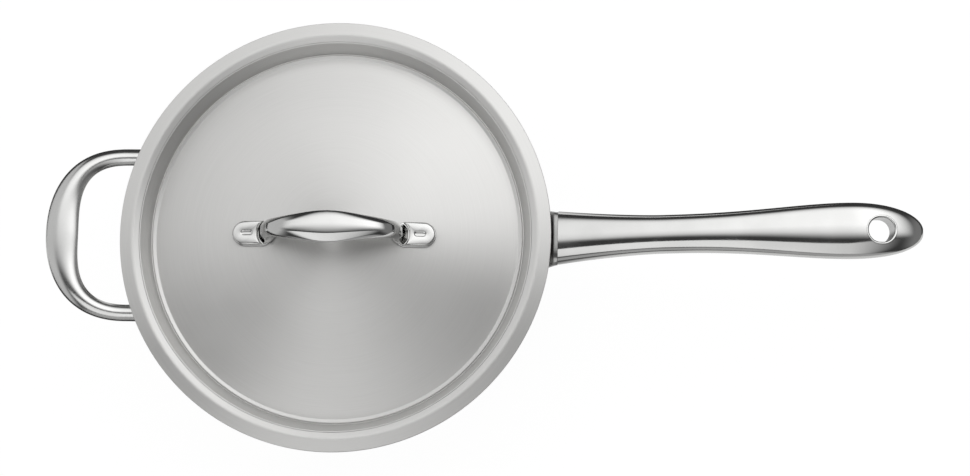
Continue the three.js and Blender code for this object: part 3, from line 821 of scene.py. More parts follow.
@dataclass
class Vessel:
    """The pan body and its sandwich base."""

    inner_radius: float = 120.0
    depth: float = 70.0
    sheet: float = 1.2
    corner_radius: float = 10.0
    shoulder_radius: float = 5.0
    lip_reach: float = 12.5
    lip_fall_deg: float = 10.0
    hem_radius: float = 1.8
    core_thickness: float = 5.6
    cap_sheet: float = 0.8
    cap_edge_radius: float = 3.0
    base_step: float = 1.0
    gap: float = 0.3
    lead_deg: float = 20.0
    lead_radius: float = 120.65
    lead_edge: float = 0.12
    hem_edge: float = 0.4

    @property
    def floor_underside(self) -> float:
        """Level of the pan's floor from below."""
        return self.cap_sheet + self.core_thickness

    @property
    def rim_z(self) -> float:
        """Level of the rim."""
        return self.floor_underside + self.sheet + self.depth

    @property
    def wall_radius(self) -> float:
        """Outer radius of the wall."""
        return self.inner_radius + self.sheet

    @property
    def lip_radius(self) -> float:
        """Outer radius of the pouring lip."""
        return self.inner_radius + self.lip_reach

    @property
    def shoulder(self) -> tuple[float, float]:
        """Centre of the bend between wall and lip."""
        return (self.inner_radius + self.shoulder_radius, self.rim_z - self.shoulder_radius)

    def profile(self) -> list:
        """The body's section, anticlockwise from the floor's underside.

        Returns:
            Points as pairs of radius and height.
        """
        under = self.floor_underside
        corner = (self.inner_radius - self.corner_radius, under + self.sheet + self.corner_radius)
        fall = math.radians(self.lip_fall_deg)
        turn = 90 - self.lip_fall_deg
        bend_x = self.shoulder[0] + self.shoulder_radius * math.sin(fall)
        bend_z = self.shoulder[1] + self.shoulder_radius * math.cos(fall)
        hem_x = self.lip_radius - self.hem_radius
        band_end = hem_x + self.hem_radius * math.sin(fall)
        hem = (hem_x, bend_z - (band_end - bend_x) * math.tan(fall) - self.hem_radius * math.cos(fall))
        lip_end = bend_z - (self.lip_radius - bend_x) * math.tan(fall)
        lip_edge = [(self.lip_radius, hem[1]), (self.lip_radius, lip_end), (bend_x, bend_z)]
        return [
            (0.0, under),
            *arc(corner, self.corner_radius + self.sheet, -90, 0),
            *arc(self.shoulder, self.shoulder_radius - self.sheet, 180, turn),
            *arc(hem, self.hem_radius - self.sheet, turn, 0, step=12),
            *filleted(lip_edge, [self.hem_edge]),
            *arc(self.shoulder, self.shoulder_radius, turn, 90 + self.lead_deg),
            *self.lead(),
            *arc(corner, self.corner_radius, 0, -90),
            (0.0, under + self.sheet),
        ]

    def lead(self) -> list:
        """The lip's lead-in: a slope down to the lid's edge, a small bend and the rest of the shoulder.

        Returns:
            Points as pairs of radius and height.
        """
        slope, radius = math.radians(self.lead_deg), self.shoulder_radius
        start = (self.shoulder[0] - radius * math.sin(slope), self.shoulder[1] + radius * math.cos(slope))
        corner = (self.lead_radius, start[1] - (start[0] - self.lead_radius) * math.tan(slope))
        inside = self.shoulder[0] - self.lead_radius
        meet = (self.lead_radius, self.shoulder[1] + math.sqrt(radius**2 - inside**2))
        rest = 180 - math.degrees(math.acos(inside / radius))
        return [*filleted([start, corner, meet], [self.lead_edge]), *arc(self.shoulder, radius, rest, 180)]

    def cap_profile(self) -> list:
        """The steel cup under the core, anticlockwise from its underside.

        Returns:
            Points as pairs of radius and height.
        """
        outer = self.wall_radius - self.corner_radius - self.sheet - self.base_step
        edge = (outer - self.cap_edge_radius, self.cap_edge_radius)
        top = self.floor_underside - self.gap
        return [
            (0.0, 0.0),
            *arc(edge, self.cap_edge_radius, -90, 0, step=9),
            (outer, top),
            (outer - self.cap_sheet, top),
            *arc(edge, self.cap_edge_radius - self.cap_sheet, 0, -90, step=9),
            (0.0, self.cap_sheet),
        ]

    def build(self, forms: Forms, finishes: Finishes) -> None:
        """Spins the body and the cup, and finishes the core.

        Args:
            forms: The Geometry Nodes trees.
            finishes: The materials.
        """
        body = forms.spin("vessel_body", self.profile(), finishes.satin)
        dress(body, "pan", "satin_steel", "pan_body")
        cup = forms.spin("vessel_base_cup", self.cap_profile(), finishes.satin)
        dress(cup, "pan", "satin_steel", "base_cap")
        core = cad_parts["base_core"]
        core.data.materials.clear()
        core.data.materials.append(finishes.core)
        log.info("%s: the CAD solid with its finish", core.name)


@dataclass
class Lid:
    """The drop-in lid: dome, ring bead, channel, locating wall and edge."""

    vessel: Vessel
    sheet: float = 1.0
    edge_overlap: float = 0.5
    edge_low: float = 0.3
    edge_rise: float = 0.95
    edge_round: float = 0.12
    crest_inset: float = 0.75
    crest_drop: float = 0.17
    valley_width: float = 0.5
    fold_inset: float = 6.0
    fold_radius: float = 3.0
    fold_depth: float = 11.2
    dome_rise: float = 15.5
    bead_radius: float = 114.1
    bead_inside: float = 111.9
    bead_rise: float = 1.25
    bead_deg: float = 65.0
    bead_run: float = 2.0
    face_radii: tuple[float, ...] = (0.7, 0.2, 0.2, 0.5, 0.8)
    hollow_inset: float = 1.0
    under_bead: float = 1.1
    under_valley: float = 0.8
    wall_radii: tuple[float, ...] = (2.0, 1.2)
    dome_step_deg: float = 0.4

    def __post_init__(self) -> None:
        """Works out the levels of the edge, the channel and the dome."""
        pan = self.vessel
        self.edge_radius = pan.inner_radius + self.edge_overlap
        reach = pan.shoulder_radius + pan.gap
        inside = pan.shoulder[0] - self.edge_radius
        self.edge_under = pan.shoulder[1] + math.sqrt(reach**2 - inside**2)
        self.bottom = self.edge_under + self.sheet - self.fold_depth
        fold, over = pan.inner_radius - self.fold_inset, self.dome_rise - self.fold_radius
        self.dome_radius = (fold**2 + over**2 - self.fold_radius**2) / (2 * (over + self.fold_radius))
        self.dome_z = self.bottom + self.dome_rise - self.dome_radius

    def height(self, radius: float) -> float:
        """Level of the dome's top face at a distance from the middle."""
        return self.dome_z + math.sqrt(self.dome_radius**2 - radius**2)

    def profile(self) -> list:
        """The lid's section, anticlockwise from the dome's underside.

        Returns:
            Points as pairs of radius and height.
        """
        low, inside = self.bottom - self.sheet, self.dome_radius - self.sheet
        top = self.edge_under + self.edge_rise
        under, edge = (self.edge_radius, self.edge_under + self.edge_low), (self.edge_radius, top)
        crest = (self.edge_radius - self.crest_inset, top - self.crest_drop)
        foot = self.bead_radius + self.bead_rise / math.tan(math.radians(self.bead_deg))
        valley = [(foot + self.valley_width, self.bottom), (foot, self.bottom)]
        bead = (self.bead_radius, self.bottom + self.bead_rise)
        inner = (self.bead_inside, self.height(self.bead_inside))
        onward = (self.bead_inside - self.bead_run, self.height(self.bead_inside - self.bead_run))
        rim = filleted([under, edge, crest], [self.edge_round])[:-1]
        face = filleted([edge, crest, *valley, bead, inner, onward], self.face_radii)[1:]
        last = math.degrees(math.acos(onward[0] / self.dome_radius))
        middle, step = (0.0, self.dome_z), self.dome_step_deg
        dome = arc(middle, self.dome_radius, last, 90, step)[1:]
        first = math.degrees(math.acos((self.bead_inside - self.hollow_inset) / inside))
        hollow = arc(middle, inside, 90, first, step)
        below = [(self.bead_radius - self.under_bead, low), (valley[0][0] + self.under_valley, low)]
        wall = filleted([hollow[-1], *below, under], self.wall_radii)[1:-1]
        return [*hollow, *wall, *rim, *face, *dome]

    def build(self, forms: Forms, finishes: Finishes) -> None:
        """Spins the lid."""
        shell = forms.spin("lid_dome", self.profile(), finishes.satin)
        dress(shell, "lid", "satin_steel", "lid_shell")


@dataclass
class BowGrip:
    """The lid's bow grip on its welded plates and raised pads."""

    MARK_STEPS = ((0.7, 0.0), (0.35, 0.08), (0.0, 0.4), (-0.2, 0.85), (-0.5, 1.0), (-1.0, 1.0))

    lid: Lid
    foot_radius: float = 50.3
    plate_length: float = 24.4
    plate_width: float = 15.4
    plate_thickness: float = 1.2
    plate_corner: float = 5.5
    plate_edge: float = 0.5
    plate_flat: float = 2.5
    plate_steps: int = 6
    pad_length: float = 17.4
    pad_width: float = 14.2
    pad_height: float = 2.6
    pad_edge: float = 1.15
    pad_steps: int = 8
    hollow_radius: float = 9.0
    hollow_depth: float = 1.6
    hollow_steps: int = 12
    mark_length: float = 6.8
    mark_width: float = 2.6
    mark_inset: float = 0.6
    mark_depth: float = 0.5
    leg_spread: float = 40.5
    rise: float = 29.0
    bow_roundness: float = 3.8
    grip_width: float = 19.3
    leg_width: float = 10.6
    grip_thickness: float = 9.6
    leg_thickness: float = 6.6
    foot_width: float = 12.4
    foot_thickness: float = 10.6
    foot_height: float = 6.0
    arch_from: float = 1.1
    grip_crown: float = 0.25
    arm_crown: float = 0.5
    crown_power: float = 0.8
    ridge: float = 0.42
    domed: float = 0.45
    around: int = 144
    steps: int = 180
    foot_steps: int = 14

    def foot_matrix(self, side: int) -> Matrix:
        """The place of a foot on the dome, with +X pointing outwards, in millimetres.

        Args:
            side: -1 for the left foot, 1 for the right.

        Returns:
            The foot's place and turn.
        """
        lean = math.asin(self.foot_radius / self.lid.dome_radius)
        spin = Matrix.Rotation(math.pi if side < 0 else 0.0, 4, "Z")
        place = Matrix.Translation((side * self.foot_radius, 0.0, self.lid.height(self.foot_radius)))
        return place @ spin @ Matrix.Rotation(lean, 4, "Y")

    def plate_ring(self, grow: float) -> np.ndarray:
        """The plate's outline: round at the far end, two corners at the near end.

        Args:
            grow: How far the outline moves outwards, in millimetres.

        Returns:
            Points in the plate's own plane.
        """
        half, end = self.plate_width / 2, self.plate_length / 2
        near, corner = -end + self.plate_corner, self.plate_corner + grow
        side = half - self.plate_corner
        return np.array([
            *arc((end - half, 0.0), half + grow, -90, 90, step=5),
            *arc((near, side), corner, 90, 180, step=8),
            *arc((near, -side), corner, 180, 270, step=8),
        ])

    def pad_ring(self, grow: float) -> np.ndarray:
        """The pad's outline: round at the far end, hollowed round the bow's foot at the near end.

        Args:
            grow: How far the outline moves outwards, in millimetres.

        Returns:
            Points in the pad's own plane.
        """
        half, end = self.pad_width / 2, self.pad_length / 2
        middle = self.hollow_depth - end - self.hollow_radius
        radius, side = self.hollow_radius - grow, half + grow
        open_deg = math.degrees(math.asin(side / radius))
        hollow = arc((middle, 0.0), radius, open_deg, -open_deg, open_deg / self.hollow_steps)
        return np.array([*arc((end - half, 0.0), side, -90, 90, step=5), *hollow])

    def mark_ring(self, grow: float) -> np.ndarray:
        """The pressed mark's outline, on the rays from its middle to the pad's outline.

        Args:
            grow: How far the outline moves outwards, in millimetres.

        Returns:
            Points in the pad's own plane, as many as the pad's outline has.
        """
        half, end = self.mark_width / 2 + grow, (self.mark_length - self.mark_width) / 2
        middle = np.array([-self.mark_inset, 0.0])
        rays = self.pad_ring(0.0) - middle
        rays /= np.linalg.norm(rays, axis=1)[:, None]
        c, s = np.abs(rays[:, 0]), np.abs(rays[:, 1])
        side = half / np.maximum(s, 1e-9)
        tip = end * c + np.sqrt(np.maximum(half**2 - (end * s) ** 2, 0.0))
        reach = np.where(side * c <= end, side, tip)
        return middle + rays * reach[:, None]

    def placed(self, rings: Sequence[tuple[np.ndarray, float]], side: int) -> list[np.ndarray]:
        """Flat rings with their heights, moved to a foot on the dome.

        Args:
            rings: Flat rings, each with its height.
            side: -1 for the left foot, 1 for the right.

        Returns:
            The rings in the scene.
        """
        matrix = np.array(self.foot_matrix(side))
        moved = []
        for flat, height in rings:
            full = np.column_stack([flat, np.full(len(flat), height), np.ones(len(flat))])
            moved.append((full @ matrix.T)[:, :3])
        return moved

    def plate(self, side: int, word: str, finishes: Finishes) -> None:
        """The thin plate that is welded to the dome, with a rolled edge.

        Args:
            side: -1 for the left foot, 1 for the right.
            word: The side's name.
            finishes: The materials.
        """
        gap = self.lid.vessel.gap
        top = gap + self.plate_thickness
        rings = [(self.plate_ring(0.0), gap)]
        for inset, drop in rolled(self.plate_edge, self.plate_steps):
            rings.append((self.plate_ring(-inset), top - drop))
        rings.append((self.plate_ring(-self.plate_flat), top))
        piece = from_rings(f"grip_plate_{word}", self.placed(rings, side), finishes.polished)
        dress(crisp(piece, angle_deg=50.0), "lid", "polished_steel", f"lid_plate_{word}")

    def pad(self, side: int, word: str, finishes: Finishes) -> None:
        """The raised pad with its pressed mark.

        Args:
            side: -1 for the left foot, 1 for the right.
            word: The side's name.
            finishes: The materials.
        """
        base = 2 * self.lid.vessel.gap + self.plate_thickness
        top = base + self.pad_height
        shift = (self.plate_length - self.pad_length) / 2 - (self.plate_width - self.pad_width) / 2
        move = np.array([shift, 0.0])
        rings = [(self.pad_ring(0.0) + move, base)]
        for inset, drop in rolled(self.pad_edge, self.pad_steps):
            rings.append((self.pad_ring(-inset) + move, top - drop))
        for grow, share in self.MARK_STEPS:
            rings.append((self.mark_ring(grow) + move, top - share * self.mark_depth))
        piece = from_rings(f"grip_pad_{word}", self.placed(rings, side), finishes.polished)
        dress(crisp(piece, angle_deg=60.0), "lid", "polished_steel", f"lid_pad_{word}")

    def bow(self, forms: Forms, finishes: Finishes) -> None:
        """The cast bow: two flared feet and a flat-topped arch, swept with a crowned section.

        Args:
            forms: The Geometry Nodes trees.
            finishes: The materials.
        """
        foot = self.lid.height(self.leg_spread) - self.plate_thickness
        rise = self.rise + self.plate_thickness
        seat = 2 * self.plate_thickness + 2 * self.lid.vessel.gap
        leg = np.linspace(0, 1, self.foot_steps)
        turn = np.pi * np.linspace(1, 0, self.steps + 1)
        power = 2 / self.bow_roundness
        x = signed_power(np.cos(turn), power)
        z = np.abs(np.sin(turn)) ** power * rise
        arch = z > seat + self.foot_height * self.arch_from
        upright = seat + self.foot_height * leg
        x = np.concatenate([-np.ones_like(leg), x[arch], np.ones_like(leg)])
        z = np.concatenate([upright, z[arch], upright[::-1]])
        flare = np.concatenate([(1 - leg) ** 2, np.zeros(arch.sum()), (leg[::-1] - 1) ** 2])
        points = np.column_stack([self.leg_spread * x, np.zeros_like(x), foot + z])
        tangent = np.gradient(points, axis=0)
        tangent /= np.linalg.norm(tangent, axis=1)[:, None]
        across = repeated((0.0, 1.0, 0.0), len(x))
        grip = smooth(1 - np.abs(x))
        width = lerp(lerp(self.leg_width, self.grip_width, grip), self.foot_width, flare)
        thick = lerp(lerp(self.leg_thickness, self.grip_thickness, grip), self.foot_thickness, flare)
        sizes = {
            "half_width": width / 2,
            "half_height": thick / 2,
            "crown": lerp(self.arm_crown, self.grip_crown, grip) * width / 2,
        }
        line = Line(points, sizes, {"across": across, "up": np.cross(tangent, across)})
        inputs = {
            "Around": self.around,
            "Power": self.crown_power,
            "Ridge": self.ridge,
            "Domed": self.domed,
            "Finish": finishes.polished,
        }
        piece = forms.bar.make("grip_bow", line, inputs)
        dress(piece, "lid", "polished_steel", "lid_grip")

    def build(self, forms: Forms, finishes: Finishes) -> None:
        """Makes the bow, the plates and the pads.

        Args:
            forms: The Geometry Nodes trees.
            finishes: The materials.
        """
        self.bow(forms, finishes)
        for side, word in ((-1, "left"), (1, "right")):
            self.plate(side, word, finishes)
            self.pad(side, word, finishes)


@dataclass
class LongHandle:
    """The hollow long handle of two drawn shells, with its hanging hole."""

    vessel: Vessel
    off_lip: float = 4.0
    length: float = 216.39
    sheet: float = 1.2
    root_width: float = 32.6
    waist_width: float = 23.2
    end_width: float = 33.4
    waist_at: float = 64.0
    widest_from_tip: float = 43.5
    root_height: float = 18.0
    waist_height: float = 14.4
    end_height: float = 13.59
    root_drop: float = 7.0
    root_angle_deg: float = 18.2
    rise: float = 37.8
    tip_droop: float = 7.0
    roundness: float = 2.35
    root_taper: float = 1.6
    swell_delay: float = 1.35
    tip_roundness: float = 2.15
    tip_flat: float = 0.25
    tip_crowding: float = 0.15
    root_edge: float = 0.12
    hole_from_tip: float = 26.3
    hole_length: float = 16.8
    hole_width: float = 15.5
    hole_lean_deg: float = 13.5
    sleeve_wall: float = 0.9
    sleeve_lip: float = 1.2
    sleeve_inside: float = 0.6
    sleeve_fit: float = 0.1
    sleeve_top: float = 0.02
    sleeve_depth: float = 1.0
    bore_start: float = 0.2
    tool_reach: float = 30.0
    lip_steps: int = 8
    ring_passes: int = 4
    around: int = 64
    steps: int = 220
    hole_points: int = 96

    @property
    def start(self) -> float:
        """Where the root end is along X."""
        return self.vessel.lip_radius + self.off_lip

    @property
    def widest_at(self) -> float:
        """Distance from the root to the widest place."""
        return self.length - self.widest_from_tip

    @property
    def hole_at(self) -> float:
        """Distance from the root to the hole's middle."""
        return self.length - self.hole_from_tip

    @property
    def lean(self) -> float:
        """How far the hole's column runs along X for each millimetre up."""
        return math.tan(math.radians(self.hole_lean_deg))

    def centre(self, s: np.ndarray | float) -> np.ndarray:
        """Level of the seam at a distance from the root.

        Args:
            s: Distances from the root.

        Returns:
            The levels.
        """
        slope = math.tan(math.radians(self.root_angle_deg))
        flatten = (slope * self.widest_at - self.rise) / self.widest_at**2
        beyond = np.maximum(0.0, s - self.widest_at) / self.widest_from_tip
        return self.vessel.rim_z - self.root_drop + slope * s - flatten * s * s - self.tip_droop * beyond**2

    def half(self, s: np.ndarray | float, inset: float) -> tuple[np.ndarray, np.ndarray]:
        """Half width and half height at a distance from the root, drawn in by an inset.

        Args:
            s: Distances from the root.
            inset: How far inside the outer face.

        Returns:
            Half widths and half heights.
        """
        s = np.asarray(s, float)
        root = np.maximum(0.0, 1 - s / self.waist_at) ** self.root_taper
        swell = np.maximum(0.0, (s - self.waist_at) / (self.widest_at - self.waist_at)) ** self.swell_delay
        t = np.clip((s - self.widest_at) / (self.widest_from_tip - inset), 0.0, 1.0)
        closing = (1 - t**self.tip_roundness) ** (1 / self.tip_roundness)

        def run(at_root: float, at_waist: float, at_end: float) -> np.ndarray:
            """Half of a size from the root through the waist to the tip."""
            before, after = lerp(at_waist, at_root, root), lerp(at_waist, at_end, smooth(swell))
            return (np.where(s < self.waist_at, before, after) / 2 - inset) * closing

        wide = run(self.root_width, self.waist_width, self.end_width)
        return wide, run(self.root_height, self.waist_height, self.end_height)

    def level(self, x: np.ndarray, y: np.ndarray, side: int) -> np.ndarray:
        """Level of the outer face above or below a point in plan.

        Args:
            x: Places along the handle.
            y: Places across it.
            side: 1 for the upper face, -1 for the lower.

        Returns:
            The levels.
        """
        s = x - self.start
        wide, high = self.half(s, 0.0)
        share = np.clip(np.abs(y) / wide, 0.0, 1.0)
        return self.centre(s) + side * high * (1 - share**self.roundness) ** (1 / self.roundness)

    def stations(self) -> np.ndarray:
        """Distances from the root, closer together towards the tip."""
        u = np.linspace(0, 1, self.steps + 1)
        return (self.length - self.tip_flat) * np.sin(np.pi / 2 * lerp(u, u * u, -self.tip_crowding))

    def column(self, grow: float, heights: Sequence[float]) -> list[np.ndarray]:
        """Rings of the leaning column through the hole, grown all round.

        Args:
            grow: How far the outline moves outwards, in millimetres.
            heights: Heights from the hole's middle.

        Returns:
            One ring for each height.
        """
        middle = np.array([self.start + self.hole_at, 0.0, float(self.centre(self.hole_at))])
        way = np.array([self.lean, 0.0, 1.0])
        return [self.hole_ring(grow) + middle + way * height for height in heights]

    def hole_ring(self, grow: float) -> np.ndarray:
        """The hole's outline round its own middle, anticlockwise.

        Args:
            grow: How far the outline moves outwards, in millimetres.

        Returns:
            The ring's points, at height 0.
        """
        radius, offset = self.hole_width / 2 + grow, (self.hole_length - self.hole_width) / 2
        turn = np.linspace(0, math.tau, self.hole_points, endpoint=False)
        ring = np.column_stack([radius * np.cos(turn), radius * np.sin(turn), np.zeros_like(turn)])
        ring[:, 0] += np.sign(np.round(np.cos(turn), 9)) * offset
        return ring

    def shells(self, forms: Forms, finishes: Finishes) -> None:
        """The two drawn shells, each with its wall, cut for the sleeve.

        Args:
            forms: The Geometry Nodes trees.
            finishes: The materials.
        """
        s = self.stations()
        outer, inner = self.half(s, 0.0), self.half(s, self.sheet)
        # The rim closes at half the sheet, and a station just behind it keeps the edge tight.
        for a, b in zip(outer, inner):
            a[0] = b[0] = lerp(a[0], b[0], 0.5)
        edge = (*self.half(self.root_edge, 0.0), *self.half(self.root_edge, self.sheet))
        s = np.insert(s, 1, self.root_edge)
        names = ("half_width", "half_height", "inner_width", "inner_height")
        sizes = {n: np.insert(v, 1, float(e)) for n, v, e in zip(names, (*outer, *inner), edge)}
        points = np.column_stack([self.start + s, np.zeros_like(s), self.centre(s)])
        hole = self.column(self.sleeve_wall + self.sleeve_fit, (-self.tool_reach, self.tool_reach))
        inputs = {
            "Around": self.around,
            "Power": 2 / self.roundness,
            "Seam": self.vessel.gap / 2 * MM,
            "Finish": finishes.polished,
        }
        for side, word in ((1.0, "upper"), (-1.0, "lower")):
            axes = {"across": repeated((0.0, -side, 0.0), len(s)), "up": repeated((0.0, 0.0, side), len(s))}
            piece = forms.shell.make(f"handle_{word}", Line(points, sizes, axes), inputs)
            cut(piece, from_rings("hole_tool", hole, finishes.polished))
            dress(crisp(piece, angle_deg=30.0), "pan", "polished_steel", f"handle_{word}_shell")

    def lip_ring(self, grow: float, side: int, sink: float) -> np.ndarray:
        """A ring round the hole that follows the outer face, sunk by a depth.

        Args:
            grow: How far the outline moves outwards, in millimetres.
            side: 1 for the upper face, -1 for the lower.
            sink: Depth below the face.

        Returns:
            The ring's points.
        """
        mid_x, mid_z = self.start + self.hole_at, float(self.centre(self.hole_at))
        flat = self.hole_ring(grow)
        x, y = mid_x + flat[:, 0], flat[:, 1]
        z = np.full_like(x, mid_z + side * self.end_height / 2)
        for _ in range(self.ring_passes):
            z = self.level(x + (z - mid_z) * self.lean, y, side) - side * sink
        return np.column_stack([x + (z - mid_z) * self.lean, y, z])

    def sleeve(self, finishes: Finishes) -> None:
        """The sleeve through the hole, whose rounded lips run into the shells' faces.

        Args:
            finishes: The materials.
        """
        wall, inside, bore = self.sleeve_wall, self.sleeve_inside, self.sleeve_lip + self.bore_start
        lip = [(min(wall, inset - inside), drop) for inset, drop in rolled(self.sleeve_lip, self.lip_steps)]
        half = [(-inside, bore), *lip, (wall, self.sleeve_top), (wall, self.sleeve_depth)]
        rings = [self.lip_ring(grow, 1, sink) for grow, sink in reversed(half)]
        rings += [self.lip_ring(grow, -1, sink) for grow, sink in half]
        count, total = self.hole_points, len(rings)
        # The strips down the bore take the darker copy of the polished steel: painted shade inside the hole,
        # with a rougher finish.
        bore_shaded = range(len(half) - 2, len(half) + 1)
        faces = []
        for i in range(total):
            here, there = i * count, (i + 1) % total * count
            for k in range(count):
                after = (k + 1) % count
                faces.append((here + k, there + k, there + after, here + after))
        mesh = bpy.data.meshes.new("handle_sleeve")
        mesh.from_pydata((np.concatenate(rings) * MM).tolist(), [], faces)
        mesh.materials.append(finishes.polished)
        mesh.materials.append(finishes.bore_shaded)
        for face in mesh.polygons:
            face.material_index = int(face.index // count in bore_shaded)
        piece = crisp(linked(bpy.data.objects.new("handle_sleeve", mesh)), angle_deg=60.0)
        dress(piece, "pan", "polished_steel", "hang_sleeve")

    def build(self, forms: Forms, finishes: Finishes) -> None:
        """Makes the shells and the sleeve."""
        self.shells(forms, finishes)
        self.sleeve(finishes)


@dataclass
class CurvedPlate:
    """A plate with round corners and edges that follows the pan's wall."""

    name: str
    radius: float
    sheet: float
    width: float
    height: float
    top: float
    facing_deg: float
    edge_most: float = 0.6
    edge_spare: float = 0.05
    edge_steps: int = 5
    corner_power: float = 0.45
    back_inset: float = 1.5
    face_span: float = 0.98
    face_steps: tuple[float, ...] = (0.15, 0.4, 0.7, 0.97)
    points: int = 96

    def ring(self, grow: float, depth: float) -> np.ndarray:
        """The plate's outline, grown and set at a depth from its inner face.

        Args:
            grow: How far the outline moves outwards, in millimetres.
            depth: Distance from the inner face.

        Returns:
            The ring's points.
        """
        turn = np.linspace(0, math.tau, self.points, endpoint=False)
        along = signed_power(np.cos(turn), self.corner_power) * (self.width / 2 + grow)
        rise = signed_power(np.sin(turn), self.corner_power) * (self.height / 2 + grow)
        angle = math.radians(self.facing_deg) + along / (self.radius + self.sheet / 2)
        r = self.radius + depth
        return np.column_stack([r * np.cos(angle), r * np.sin(angle), self.top - self.height / 2 + rise])

    def build(self, finish: bpy.types.Material) -> bpy.types.Object:
        """Makes the plate from its inner face over the rolled edges to its outer face.

        Args:
            finish: The plate's material.

        Returns:
            The new object.
        """
        edge = min(self.edge_most, self.sheet / 2 - self.edge_spare)
        steps = rolled(edge, self.edge_steps)
        reach = min(self.width, self.height) / 2 * self.face_span
        rings = [self.ring(-edge - self.back_inset, 0.0), self.ring(-edge, 0.0)]
        rings += [self.ring(-drop, inset) for inset, drop in steps]
        rings += [self.ring(-inset, self.sheet - drop) for inset, drop in steps]
        rings += [self.ring(-edge - share * reach, self.sheet) for share in self.face_steps]
        return crisp(from_rings(self.name, rings, finish), angle_deg=45.0)


@dataclass
class HandleBracket:
    """The bracket that carries the long handle on the wall."""

    vessel: Vessel
    handle: LongHandle
    plate_sheet: float = 2.0
    plate_width: float = 44.0
    plate_height: float = 26.0
    plate_drop: float = 7.0
    neck_width: float = 32.6
    neck_height: float = 11.5
    neck_roundness: float = 3.35
    tongue_length: float = 16.0
    tongue_play: float = 0.35
    under_lip: float = 1.2
    neck_rise: float = 0.9
    wall_clear: float = 0.2
    run_steps: tuple[int, int] = (40, 24)
    tongue_steps: int = 40
    end_round: float = 2.0
    end_least: float = 0.02
    around: int = 96

    def route(self) -> np.ndarray:
        """The neck's middle from the wall to the handle, as rows of X, Z and half height.

        Returns:
            One row for each station.
        """
        pan, handle = self.vessel, self.handle
        fall = math.tan(math.radians(pan.lip_fall_deg))
        lip_under = pan.rim_z - pan.sheet - pan.lip_reach * fall - pan.hem_radius / 2
        half, middle = self.neck_height / 2, pan.rim_z - self.plate_drop - self.plate_height / 2
        wall_x = pan.wall_radius + pan.gap + self.wall_clear
        a = np.array([wall_x, middle, (self.plate_height - self.plate_drop) / 2])
        b = np.array([pan.lip_radius, lip_under - self.under_lip - half, half])
        high = lip_under - self.under_lip + self.neck_rise
        low = float(handle.centre(0.0)) - handle.sheet - half
        c = np.array([handle.start - pan.gap, (high + low) / 2, (high - low) / 2])
        first, second = (np.linspace(0, 1, count)[:, None] for count in self.run_steps)
        knots = [0.0, *np.cumsum(np.sqrt([np.linalg.norm(b - a), np.linalg.norm(c - b)]))]
        spans = np.diff(knots)
        slope = ((b - a) / spans[0] * spans[1] + (c - b) / spans[1] * spans[0]) / (spans[0] + spans[1])

        def run(p: np.ndarray, q: np.ndarray, dp: np.ndarray, dq: np.ndarray, t: np.ndarray) -> np.ndarray:
            """A cubic run between two points with given slopes.

            Args:
                p: The first point.
                q: The last point.
                dp: The slope at the first point.
                dq: The slope at the last point.
                t: Shares of the way.

            Returns:
                One row for each share.
            """
            return (
                p * (2 * t**3 - 3 * t**2 + 1) + dp * (t**3 - 2 * t**2 + t)
                + q * (3 * t**2 - 2 * t**3) + dq * (t**3 - t**2)
            )

        return np.concatenate([
            run(a, b, b - a, slope * spans[0], first[:-1]),
            run(b, c, slope * spans[1], c - b, second),
        ])

    def build(self, forms: Forms, finishes: Finishes) -> None:
        """Makes the plate on the wall and sweeps the neck from it into the handle.

        Args:
            forms: The Geometry Nodes trees.
            finishes: The materials.
        """
        pan, handle = self.vessel, self.handle
        # The plate and the neck take the darker bracket steel, with painted shade under the lip.
        plate = CurvedPlate(
            "bracket_plate", pan.wall_radius + pan.gap, self.plate_sheet, self.plate_width, self.plate_height,
            pan.rim_z - self.plate_drop, facing_deg=0.0,
        ).build(finishes.bracket)
        route = self.route()
        s = np.linspace(pan.gap, self.tongue_length, self.tongue_steps)
        inner_wide, inner_high = handle.half(s, handle.sheet + self.tongue_play)
        u = smooth(np.linspace(0, 1, len(route)))
        x = np.concatenate([route[:, 0], handle.start + s])
        z = np.concatenate([route[:, 1], handle.centre(s)])
        neck_wide = lerp(self.neck_width / 2 + self.plate_sheet, self.neck_width / 2, u)
        tongue = np.minimum(self.neck_height / 2 - handle.sheet, inner_high)
        ends = np.clip((x[-1] - x) / self.end_round, self.end_least, 1.0) ** 0.5
        sizes = {
            "half_width": np.concatenate([neck_wide, inner_wide]) * ends,
            "half_height": np.concatenate([route[:, 2], tongue]) * ends,
        }
        axes = {"across": repeated((0.0, 1.0, 0.0), len(x)), "up": repeated((0.0, 0.0, 1.0), len(x))}
        line = Line(np.column_stack([x, np.zeros_like(x), z]), sizes, axes)
        inputs = {"Around": self.around, "Power": 2 / self.neck_roundness, "Finish": finishes.bracket}
        neck = crisp(forms.oblong.make("bracket_neck", line, inputs), angle_deg=45.0)
        dress(plate, "pan", "bracket_steel", "handle_bracket")
        dress(neck, "pan", "bracket_steel", "handle_bracket")


